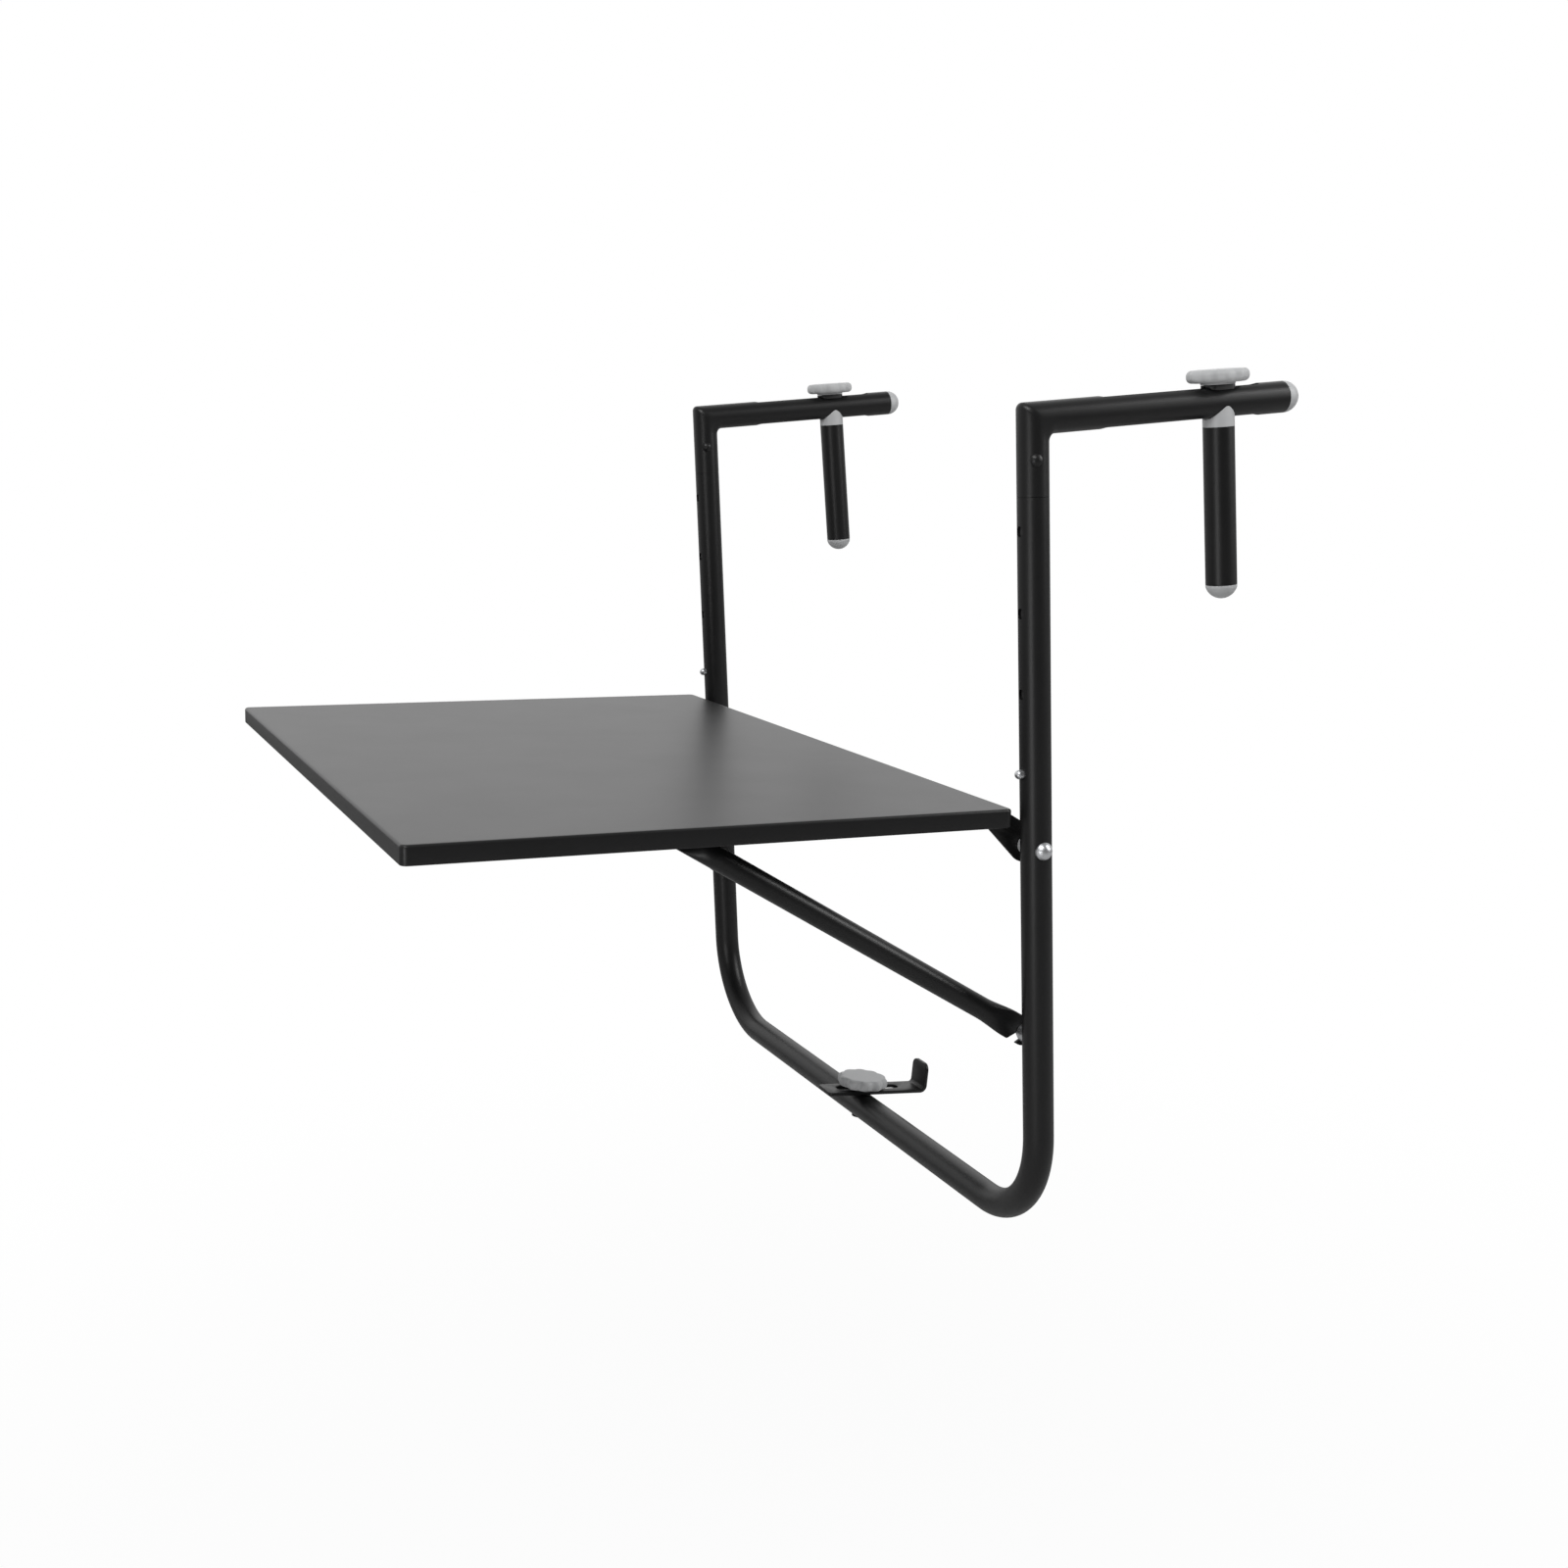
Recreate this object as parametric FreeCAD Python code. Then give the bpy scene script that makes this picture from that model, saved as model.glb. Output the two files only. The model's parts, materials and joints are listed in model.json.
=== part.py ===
"""Balcony railing bar table: a folding leaf on a bent tube frame that hangs from a railing.

Frame of the part: +Z up, +X over the railing, -X towards the person at the table, +Y away from the
near arm. The origin lies midway between the two arms, in the plane of the uprights, on the underside
of the arms, where they rest on the railing. Near pieces lie at -Y and far pieces at +Y.
"""
import FreeCAD, Part
import math
import os

os.makedirs("parts", exist_ok=True)

V = FreeCAD.Vector
X_AXIS = V(1, 0, 0)
Y_AXIS = V(0, 1, 0)
Z_AXIS = V(0, 0, 1)
NEAR = -1
FAR = 1
SIDES = {"near": NEAR, "far": FAR}

# Driving dimensions in millimetres and degrees

# Tubes
tube_d = 22.0
tube_wall = 1.2
run_gap = 0.3

# Arms that lie over the railing
upright_inset = 7.5
arm_rise = 2.0
near_arm_length = 202.5
far_arm_length = 190.5
arm_leg = 51.0
corner_reach = 3.0
corner_depth = 1.3
corner_fillet = 5.0
slot_width = 9.0
slot_start = 51.5
slot_from_end = 20.0

# Inner legs and the height setting
inner_leg_d = 19.0
inner_leg_wall = 1.5
inner_leg_below_button = 20.0
leg_rivet_d = 4.0
leg_rivet_head_d = 8.4
leg_rivet_head_height = 2.0
leg_rivet_below_axis = 27.0
rivet_turn = 18.0
height_steps = 3
height_pitch = 55.0
lowest_hole_below_axis = 238.8
button_d = 6.6
button_hole_gap = 0.3
button_stand_out = 5.0
button_travel = 4.8
spring_strip = 0.8
spring_width = 8.0
spring_length = 34.0

# U frame
frame_depth = 579.0
frame_bend = 75.0

# Clamps
post_d = 22.0
post_wall = 1.5
near_post_at = 149.0
far_post_at = 130.5
post_end_below_axis = 126.0
post_top_below_axis = 16.5
saddle_spigot = 20.0
saddle_ear_below_axis = 2.6
clamp_bolt_d = 8.0
bolt_head_across = 13.0
bolt_head_height = 5.3
bolt_run_gap = 0.15
thread_pitch = 1.25
collar_length = 23.0
collar_width = 15.0
collar_above_tube = 0.9
collar_key_length = 18.0
post_pin_d = 3.5
post_pin_below_top = 4.5

# Knobs
knob_d = 43.0
knob_lobes = 10
knob_lobe_r = 5.6
knob_scallop_r = 4.4
knob_thickness = 8.8
knob_edge = 3.8
knob_hub_d = 24.0
knob_hub_height = 1.4
knob_insert_d = 12.0
knob_thread_depth = 8.5

# End caps
cap_rim = 1.6
arm_cap_dome = 10.5
post_cap_dome = 8.4
cap_spigot = 11.0

# Leaf
leaf_width = 600.0
leaf_depth = 420.0
leaf_apron = 13.0
leaf_sheet = 1.0
leaf_lip = 7.0
leaf_corner = 5.0
leaf_edge = 2.0
leaf_slope = 4.0
leaf_edge_from_pivot = 23.8
leaf_top_above_pivot = 30.3
stiffener_width = 34.0
stiffener_flange = 9.0
stiffener_height = 9.0
stiffener_sheet = 0.8
stiffener_inset = 65.0
stiffener_from_inner_edge = 94.2
stiffener_from_outer_edge = 71.8

# Leaf hinge
pivot_below_axis = 292.4
pivot_pin_d = 6.0
pivot_head_d = 12.6
pivot_head_height = 4.2
pivot_tail_d = 10.0
pivot_tail_height = 1.2
hinge_washer_d = 13.4
hinge_washer = 3.0
bracket_sheet = 2.2
bracket_eye = 12.6
bracket_reach = 62.0
bracket_flange = 15.0
bracket_root = 9.0
notch_gap = 0.3

# Stay that props the leaf
stay_d = 16.0
stay_wall = 1.2
stay_bend = 34.0
stay_below_pivot = 139.1
stay_bar_from_pivot = 258.0
stay_bar_below_top = 10.35
stay_arm_inset = 26.5
stay_flat_length = 14.0
stay_flat_width = 20.0
stay_taper = 22.0
stay_tip = 10.0
stud_d = 5.4
stud_notch_gap = 0.3
stud_collar_d = 13.0
stud_head_d = 10.5
stud_head_height = 2.5
stud_side_gap = 0.3
notch_open_turn = 32.0
notch_open_flare = 2.5
clip_width = 22.0
clip_sheet = 1.2
clip_foot = 11.0
clip_place = 150.0

# Bumper that keeps the frame off the railing
bumper_tilt = 8.5
bumper_width = 24.0
bumper_sheet = 3.0
bumper_back = 36.0
bumper_front = 57.0
bumper_height = 25.0
bumper_bend = 3.0
bumper_corner = 6.0
bumper_slot_back = 24.0
bumper_slot_front = 34.5
bumper_head_d = 12.0
bumper_head_height = 1.0

# Places worked out from the driving dimensions

tube_r = tube_d / 2
rise = math.radians(arm_rise)
along_arm = V(math.cos(rise), 0, math.sin(rise))
arm_normal = V(-math.sin(rise), 0, math.cos(rise))
arm_axis_z = tube_r / math.cos(rise)
seam_z = arm_axis_z - arm_leg
frame_top_z = seam_z - run_gap
frame_bottom_z = arm_axis_z - frame_depth
half_spacing = leaf_width / 2 - upright_inset
lowest_hole_z = arm_axis_z - lowest_hole_below_axis
pivot_z = arm_axis_z - pivot_below_axis
stud_z = pivot_z - stay_below_pivot
inner_leg_foot_z = lowest_hole_z - inner_leg_below_button
upright_bore_r = tube_r - tube_wall
inner_leg_r = inner_leg_d / 2
pivot = V(0, 0, pivot_z)
post_places = {"near": near_post_at, "far": far_post_at}
arm_lengths = {NEAR: near_arm_length, FAR: far_arm_length}


def tube_solid(start, direction, length, outer_r, wall):
    """A round tube with square ends."""
    outer = Part.makeCylinder(outer_r, length, start, direction)
    bore = Part.makeCylinder(outer_r - wall, length, start, direction)
    return outer.cut(bore)


def dome(base, direction, radius, height):
    """A round head with a flat back at base, bulging along direction."""
    ball_r = (radius ** 2 + height ** 2) / (2 * height)
    half = math.asin(radius / ball_r) / 2
    middle = V(ball_r * math.sin(half), 0, height - ball_r + ball_r * math.cos(half))
    profile = [
        Part.LineSegment(V(0, 0, 0), V(radius, 0, 0)).toShape(),
        Part.Arc(V(radius, 0, 0), middle, V(0, 0, height)).toShape(),
        Part.LineSegment(V(0, 0, height), V(0, 0, 0)).toShape(),
    ]
    head = Part.Face(Part.Wire(profile)).revolve(V(0, 0, 0), Z_AXIS, 360)
    head.Placement = FreeCAD.Placement(base, FreeCAD.Rotation(Z_AXIS, direction))
    return head


def bent_bar(points, bend, radius):
    """A round bar through points, with every corner bent to one radius."""
    pieces = []
    start = points[0]
    for before, corner, after in zip(points, points[1:], points[2:]):
        way_in = (corner - before).normalize()
        way_out = (after - corner).normalize()
        turn = way_in.getAngle(way_out)
        reach = bend * math.tan(turn / 2)
        arc_start = corner - way_in * reach
        pieces.append(Part.makeCylinder(radius, (arc_start - start).Length, start, way_in))
        axis = way_in.cross(way_out).normalize()
        centre = arc_start + axis.cross(way_in) * bend
        ring = Part.Face(Part.Wire([Part.Circle(arc_start, way_in, radius).toShape()]))
        pieces.append(ring.revolve(centre, axis, math.degrees(turn)))
        start = corner + way_out * reach
    last = points[-1]
    pieces.append(Part.makeCylinder(radius, (last - start).Length, start, last - start))
    return pieces[0].multiFuse(pieces[1:]).removeSplitter()


def slot_solid(length_from, length_to, width, low, high):
    """An upright prism with round ends, from length_from to length_to along X."""
    r = width / 2
    a = V(length_from + r, -r, low)
    b = V(length_to - r, -r, low)
    c = V(length_to - r, r, low)
    d = V(length_from + r, r, low)
    edges = [
        Part.LineSegment(a, b).toShape(),
        Part.Arc(b, V(length_to, 0, low), c).toShape(),
        Part.LineSegment(c, d).toShape(),
        Part.Arc(d, V(length_from, 0, low), a).toShape(),
    ]
    return Part.Face(Part.Wire(edges)).extrude(V(0, 0, high - low))


def half_space(point, normal, size):
    """A large block whose one face passes through point, filling the side that normal points to."""
    block = Part.makeBox(2 * size, 2 * size, size, V(-size, -size, 0))
    block.Placement = FreeCAD.Placement(point, FreeCAD.Rotation(Z_AXIS, normal))
    return block


def on_arm(shape, side, place):
    """Moves a shape drawn about the origin, with X along the arm and Z up, to its place on an arm."""
    moved = shape.copy()
    moved.rotate(V(0, 0, 0), Y_AXIS, -arm_rise)
    moved.translate(V(0, side * half_spacing, arm_axis_z) + along_arm * place)
    return moved


def on_leaf(shape):
    """Moves a shape drawn about the pivot, with the leaf towards -X, to the leaf's slope."""
    moved = shape.copy()
    moved.rotate(V(0, 0, 0), Y_AXIS, leaf_slope)
    moved.translate(pivot)
    return moved


def on_bumper(shape):
    """Moves a shape drawn about the bottom tube's axis, with Z through the bolt, to the bumper's tilt."""
    moved = shape.copy()
    moved.rotate(V(0, 0, 0), Y_AXIS, bumper_tilt)
    moved.translate(V(0, 0, frame_bottom_z))
    return moved


def mirrored(shape):
    """The far twin of a piece drawn at the near side."""
    return shape.mirror(V(0, 0, 0), Y_AXIS)


def corner_trim(side, radius):
    """The wedge taken off the sharp tip of a mitred corner of the given tube radius."""
    tip = V(-radius, side * half_spacing, arm_axis_z + radius * (1 - math.sin(rise)) / math.cos(rise))
    low = tip - Z_AXIS * corner_reach
    high = tip + along_arm * corner_reach
    middle = tip + (along_arm - Z_AXIS).normalize() * corner_depth
    outer = [high, high + arm_normal * tube_d, tip + V(-tube_d, 0, tube_d), low - X_AXIS * tube_d, low]
    edges = [Part.Arc(low, middle, high).toShape()]
    edges += [Part.LineSegment(p, q).toShape() for p, q in zip(outer, outer[1:])]
    face = Part.Face(Part.Wire(edges))
    face.translate(V(0, -tube_d, 0))
    return face.extrude(V(0, 2 * tube_d, 0))


def arm(side):
    """An arm mitred to its short leg, its weld dressed to a fillet, with a slot through both walls."""
    corner = V(0, side * half_spacing, arm_axis_z)
    mitre = (along_arm + Z_AXIS).normalize()
    length = arm_lengths[side]
    reach = 2 * tube_d

    def mitred(radius):
        over = Part.makeCylinder(radius, length + reach, corner - along_arm * reach, along_arm)
        down = Part.makeCylinder(radius, arm_leg + reach, corner + Z_AXIS * reach, -Z_AXIS)
        size = length * 2
        over = over.common(half_space(corner, mitre, size))
        down = down.common(half_space(corner, -mitre, size))
        return over.fuse(down).cut(corner_trim(side, radius))

    ends = [corner - Z_AXIS * arm_leg, corner, corner + along_arm * arm_leg]
    fillet = bent_bar(ends, tube_r + corner_fillet, tube_r)
    shell = mitred(tube_r).fuse(fillet).cut(mitred(tube_r - tube_wall)).removeSplitter()
    slot = slot_solid(slot_start, length - slot_from_end, slot_width, -tube_d, tube_d)
    return shell.cut(on_arm(slot, side, 0)).cut(leg_rivet(side, leg_rivet_d / 2))


def leg_rivet(side, radius):
    """The shank of the rivet that holds an inner leg in its arm."""
    turn = math.radians(rivet_turn)
    out = V(-math.sin(turn), -math.cos(turn), 0)
    centre = V(0, side * half_spacing, arm_axis_z - leg_rivet_below_axis)
    return Part.makeCylinder(radius, 2 * tube_r, centre - out * tube_r, out)


def leg_rivet_piece(side):
    """A rivet through the arm's leg and the inner leg, with a low head at each end."""
    turn = math.radians(rivet_turn)
    out = V(-math.sin(turn), -math.cos(turn), 0)
    centre = V(0, side * half_spacing, arm_axis_z - leg_rivet_below_axis)
    piece = leg_rivet(side, leg_rivet_d / 2)
    head_r = leg_rivet_head_d / 2
    wall = Part.makeCylinder(tube_r, 4 * head_r, centre - Z_AXIS * (2 * head_r), Z_AXIS)
    for way in (1, -1):
        base = centre + out * (way * tube_r)
        skirt = Part.makeCylinder(head_r, head_r, base - out * (way * head_r), out * way)
        piece = piece.fuse(dome(base, out * way, head_r, leg_rivet_head_height)).fuse(skirt.cut(wall))
    return piece.removeSplitter()


def inner_leg(side):
    """The tube that is riveted into an arm's leg and runs down inside the upright."""
    top = arm_axis_z - tube_r - tube_wall
    foot = V(0, side * half_spacing, inner_leg_foot_z)
    leg = tube_solid(foot, Z_AXIS, top - inner_leg_foot_z, inner_leg_r, inner_leg_wall)
    hole_r = button_d / 2 + button_hole_gap
    hole = Part.makeCylinder(hole_r, tube_d, V(0, side * half_spacing, lowest_hole_z), -X_AXIS)
    return leg.cut(hole).cut(leg_rivet(side, leg_rivet_d / 2))


def button_spring(side):
    """The leaf spring clip inside an inner leg, drawn pressed, behind the height button."""
    bore_r = inner_leg_r - inner_leg_wall
    reach = math.sqrt(bore_r ** 2 - (spring_width / 2) ** 2)
    back = reach
    front = -(tube_r - tube_wall - run_gap - inner_leg_wall) + button_travel
    front = min(front, -spring_strip * 3)
    low = lowest_hole_z - button_d
    high = low + spring_length
    bend_r = (back - front) / 2
    middle = (back + front) / 2
    outer = [
        Part.LineSegment(V(front, 0, low), V(front, 0, high)).toShape(),
        Part.Arc(V(front, 0, high), V(middle, 0, high + bend_r), V(back, 0, high)).toShape(),
        Part.LineSegment(V(back, 0, high), V(back, 0, low)).toShape(),
    ]
    inner_r = bend_r - spring_strip
    inner = [
        Part.LineSegment(V(back, 0, low), V(back - spring_strip, 0, low)).toShape(),
        Part.LineSegment(V(back - spring_strip, 0, low), V(back - spring_strip, 0, high)).toShape(),
        Part.Arc(
            V(back - spring_strip, 0, high),
            V(middle, 0, high + inner_r),
            V(front + spring_strip, 0, high),
        ).toShape(),
        Part.LineSegment(V(front + spring_strip, 0, high), V(front + spring_strip, 0, low)).toShape(),
        Part.LineSegment(V(front + spring_strip, 0, low), V(front, 0, low)).toShape(),
    ]
    strip = Part.Face(Part.Wire(outer + inner)).extrude(V(0, spring_width, 0))
    strip.translate(V(0, side * half_spacing - spring_width / 2, 0))
    return strip


def height_button(side):
    """A domed button that stands out of the lowest hole on the side of the leaf."""
    r = button_d / 2
    inner_end = -(inner_leg_r + run_gap)
    tip = -(tube_r + button_stand_out)
    centre = V(tip + r, side * half_spacing, lowest_hole_z)
    shank = Part.makeCylinder(r, inner_end - centre.x, centre, X_AXIS)
    return shank.fuse(dome(centre, -X_AXIS, r, r)).removeSplitter()


def frame_tube():
    """Two uprights and the bottom bar, bent from one tube, with the holes it is drilled with."""
    corners = [
        V(0, -half_spacing, frame_top_z),
        V(0, -half_spacing, frame_bottom_z),
        V(0, half_spacing, frame_bottom_z),
        V(0, half_spacing, frame_top_z),
    ]
    tube = bent_bar(corners, frame_bend, tube_r).cut(bent_bar(corners, frame_bend, upright_bore_r))
    hole_r = button_d / 2 + button_hole_gap
    for side in SIDES.values():
        y = side * half_spacing
        for step in range(height_steps + 1):
            centre = V(0, y, lowest_hole_z + step * height_pitch)
            tube = tube.cut(Part.makeCylinder(hole_r, tube_d, centre, -X_AXIS))
        tube = tube.cut(Part.makeCylinder(pivot_pin_d / 2, 2 * tube_d, V(0, y - tube_d, pivot_z), Y_AXIS))
        inward = V(0, -side, 0)
        tube = tube.cut(Part.makeCylinder(stud_d / 2, tube_d, V(0, y, stud_z), inward))
    bolt_hole = Part.makeCylinder(clamp_bolt_d / 2, 2 * tube_d, V(0, 0, -tube_d), Z_AXIS)
    return tube.cut(on_bumper(bolt_hole))


def end_cap(outer_d, wall, dome_height):
    """A pressed-in cap, drawn with its rim's back face at the origin and its dome towards +Z."""
    r = outer_d / 2
    bore = r - wall
    ball_r = (r ** 2 + dome_height ** 2) / (2 * dome_height)
    half = math.asin(r / ball_r) / 2
    tip = V(0, 0, cap_rim + dome_height)
    bulge = tip + V(ball_r * math.sin(half), 0, ball_r * (math.cos(half) - 1))
    profile = [
        Part.LineSegment(V(0, 0, -cap_spigot), V(bore - 0.8, 0, -cap_spigot)).toShape(),
        Part.LineSegment(V(bore - 0.8, 0, -cap_spigot), V(bore, 0, -cap_spigot + 2)).toShape(),
        Part.LineSegment(V(bore, 0, -cap_spigot + 2), V(bore, 0, 0)).toShape(),
        Part.LineSegment(V(bore, 0, 0), V(r, 0, 0)).toShape(),
        Part.LineSegment(V(r, 0, 0), V(r, 0, cap_rim)).toShape(),
        Part.Arc(V(r, 0, cap_rim), bulge, tip).toShape(),
        Part.LineSegment(tip, V(0, 0, -cap_spigot)).toShape(),
    ]
    cap = Part.Face(Part.Wire(profile)).revolve(V(0, 0, 0), Z_AXIS, 360)
    return Part.Solid(cap) if cap.ShapeType == "Shell" else cap


def arm_cap(side):
    """The grey cap in the open end of an arm."""
    cap = end_cap(tube_d, tube_wall, arm_cap_dome)
    cap.rotate(V(0, 0, 0), Y_AXIS, 90)
    return on_arm(cap, side, arm_lengths[side])


def knob_outline(z):
    """The closed outline of a knob: round lobes joined by tangent hollows."""
    lobe_at = knob_d / 2 - knob_lobe_r
    half = math.pi / knob_lobes
    reach = knob_lobe_r + knob_scallop_r
    hollow_at = lobe_at * math.cos(half) + math.sqrt(reach ** 2 - (lobe_at * math.sin(half)) ** 2)
    edges = []
    for lobe in range(knob_lobes):
        turn = 2 * half * lobe

        def point(radius, angle):
            return V(radius * math.cos(turn + angle), radius * math.sin(turn + angle), z)

        centre = point(lobe_at, 0)
        before = point(hollow_at, -half)
        after = point(hollow_at, half)
        share = knob_lobe_r / reach
        lobe_from = centre + (before - centre) * share
        lobe_to = centre + (after - centre) * share
        next_centre = point(lobe_at, 2 * half)
        next_from = next_centre + (after - next_centre) * share
        edges.append(Part.Arc(lobe_from, point(lobe_at + knob_lobe_r, 0), lobe_to).toShape())
        edges.append(Part.Arc(lobe_to, point(hollow_at - knob_scallop_r, half), next_from).toShape())
    return Part.Wire(edges)


def knob():
    """A lobed hand knob, drawn with its hub's lower face at the origin and its blind bore upwards."""
    body = Part.Face(knob_outline(knob_hub_height)).extrude(V(0, 0, knob_thickness))
    low = knob_hub_height
    high = knob_hub_height + knob_thickness
    rims = [e for e in body.Edges
            if abs(e.CenterOfMass.z - low) < 1e-6 or abs(e.CenterOfMass.z - high) < 1e-6]
    body = body.makeFillet(knob_edge, rims)
    hub = Part.makeCylinder(knob_hub_d / 2, knob_hub_height + knob_edge, V(0, 0, 0), Z_AXIS)
    seat = Part.makeCylinder(knob_insert_d / 2, knob_thread_depth, V(0, 0, 0), Z_AXIS)
    return body.fuse(hub).removeSplitter().cut(seat)


def knob_insert():
    """The threaded metal insert in a knob, its thread left as a plain bore."""
    insert = Part.makeCylinder(knob_insert_d / 2, knob_thread_depth, V(0, 0, 0), Z_AXIS)
    bore = Part.makeCylinder(clamp_bolt_d / 2 + bolt_run_gap, knob_thread_depth, V(0, 0, 0), Z_AXIS)
    return insert.cut(bore)


collar_top = tube_r + collar_above_tube
clamp_knob_seat = collar_top + run_gap
clamp_bolt_top = clamp_knob_seat + knob_thread_depth - run_gap


def clamp_collar(side, place):
    """The dark saddle washer on top of an arm, with the key that keeps it square in the slot."""
    block = Part.makeBox(collar_length, collar_width, collar_top, V(-collar_length / 2, -collar_width / 2, 0))
    corners = [e for e in block.Edges if abs(e.Vertexes[0].X - e.Vertexes[1].X) < 1e-6
               and abs(e.Vertexes[0].Y - e.Vertexes[1].Y) < 1e-6]
    block = block.makeFillet(collar_width / 3, corners)
    under = Part.makeCylinder(tube_r + run_gap, 2 * collar_length, V(-collar_length, 0, 0), X_AXIS)
    saddle = block.cut(under)
    key_width = slot_width - 2 * run_gap
    key = slot_solid(-collar_key_length / 2, collar_key_length / 2, key_width, tube_r - tube_wall, collar_top)
    hole = Part.makeCylinder(clamp_bolt_d / 2 + run_gap, tube_d, V(0, 0, 0), Z_AXIS)
    collar = saddle.fuse(key).removeSplitter().cut(hole)
    return on_arm(collar, side, place)


def clamp_knob(side, place):
    """The grey knob on top of an arm."""
    body = knob()
    body.translate(V(0, 0, clamp_knob_seat))
    return on_arm(body, side, place)


def clamp_knob_insert(side, place):
    """The threaded insert of a clamp knob."""
    insert = knob_insert()
    insert.translate(V(0, 0, clamp_knob_seat))
    return on_arm(insert, side, place)


def hexagon(across, low, high):
    """A hexagonal prism about Z."""
    r = across / math.sqrt(3)
    turns = [math.radians(60 * k) for k in range(7)]
    points = [V(r * math.cos(turn), r * math.sin(turn), low) for turn in turns]
    return Part.Face(Part.makePolygon(points)).extrude(V(0, 0, high - low))


def clamp_bolt(side, place):
    """The bolt from inside the post, through saddle, arm and collar, into the knob."""
    head_top = -post_top_below_axis - saddle_spigot
    shank = Part.makeCylinder(clamp_bolt_d / 2, clamp_bolt_top - head_top, V(0, 0, head_top), Z_AXIS)
    head = hexagon(bolt_head_across, head_top - bolt_head_height, head_top)
    return on_arm(shank.fuse(head).removeSplitter(), side, place)


def post_pin_shank(radius):
    """The short pin that keeps the saddle in the post, drawn about the post's axis."""
    turn = math.radians(rivet_turn)
    out = V(-math.sin(turn), -math.cos(turn), 0)
    spigot_r = post_d / 2 - post_wall
    z = -post_top_below_axis - post_pin_below_top
    return Part.makeCylinder(radius, post_d / 2 - spigot_r + 3, V(0, 0, z) + out * (spigot_r - 3), out)


def saddle(side, place):
    """The grey plug on top of a post: coped to the arm above, a spigot in the post below."""
    r = post_d / 2
    head = Part.makeCylinder(r, post_top_below_axis, V(0, 0, -post_top_below_axis), Z_AXIS)
    spigot_foot = V(0, 0, -post_top_below_axis - saddle_spigot)
    spigot = Part.makeCylinder(r - post_wall, saddle_spigot, spigot_foot, Z_AXIS)
    arm_round = Part.makeCylinder(tube_r + run_gap, 2 * tube_d, V(-tube_d, 0, 0), X_AXIS)
    trim = Part.makeBox(2 * tube_d, 2 * tube_d, tube_d, V(-tube_d, -tube_d, -saddle_ear_below_axis))
    hole = Part.makeCylinder(clamp_bolt_d / 2, 4 * tube_d, V(0, 0, -3 * tube_d), Z_AXIS)
    plug = head.fuse(spigot).removeSplitter().cut(arm_round).cut(trim).cut(hole)
    return on_arm(plug.cut(post_pin_shank(post_pin_d / 2)), side, place)


def post(side, place):
    """The black tube that hangs on the far side of the railing."""
    low = -post_end_below_axis
    high = -post_top_below_axis
    tube = tube_solid(V(0, 0, low), Z_AXIS, high - low, post_d / 2, post_wall)
    return on_arm(tube.cut(post_pin_shank(post_pin_d / 2)), side, place)


def post_pin(side, place):
    """The pin in the top of a post."""
    trim = Part.makeCylinder(post_d / 2, post_d, V(0, 0, -post_top_below_axis - post_d), Z_AXIS)
    return on_arm(post_pin_shank(post_pin_d / 2).common(trim), side, place)


def post_cap(side, place):
    """The grey cap in the lower end of a post."""
    cap = end_cap(post_d, post_wall, post_cap_dome)
    cap.rotate(V(0, 0, 0), X_AXIS, 180)
    cap.translate(V(0, 0, -post_end_below_axis))
    return on_arm(cap, side, place)


# Leaf, drawn about the pivot with the leaf towards -X and its top face level

leaf_top = leaf_top_above_pivot
leaf_rim = leaf_top - leaf_apron
leaf_under = leaf_top - leaf_sheet
leaf_inner = -leaf_edge_from_pivot
leaf_outer = leaf_inner - leaf_depth
washer_inner_y = half_spacing - tube_r - hinge_washer
bracket_y = washer_inner_y - bracket_sheet


def leaf_block(inset, low, high, corner_r):
    """A block of the leaf's outline, drawn in by inset on all four sides, with round corners."""
    wide = leaf_width - 2 * inset
    deep = leaf_depth - 2 * inset
    block = Part.makeBox(deep, wide, high - low, V(leaf_outer + inset, -wide / 2, low))
    corners = [e for e in block.Edges if abs(e.Vertexes[0].X - e.Vertexes[1].X) < 1e-6
               and abs(e.Vertexes[0].Y - e.Vertexes[1].Y) < 1e-6]
    return block.makeFillet(corner_r, corners)


def leaf_panel():
    """The sheet steel top with its folded apron and inward lip, notched for the hinge brackets."""
    outer = leaf_block(0, leaf_rim, leaf_top, leaf_corner)
    top_edges = [e for e in outer.Edges if all(abs(v.Z - leaf_top) < 1e-6 for v in e.Vertexes)]
    outer = outer.makeFillet(leaf_edge, top_edges)
    hollow = leaf_block(leaf_sheet, leaf_rim + leaf_sheet, leaf_under, leaf_corner - leaf_sheet)
    mouth = leaf_block(leaf_sheet + leaf_lip, leaf_rim - 1, leaf_under, leaf_corner)
    panel = outer.cut(hollow).cut(mouth)
    notch_wide = bracket_sheet + 2 * notch_gap
    for side in SIDES.values():
        low_y = side * (bracket_y + bracket_sheet / 2) - notch_wide / 2
        notch = Part.makeBox(
            leaf_lip + 2 * leaf_sheet + 2, notch_wide, leaf_apron - leaf_sheet + 1,
            V(leaf_inner - leaf_lip - leaf_sheet - 1, low_y, leaf_rim - 1),
        )
        panel = panel.cut(notch)
    return on_leaf(panel)


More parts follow.
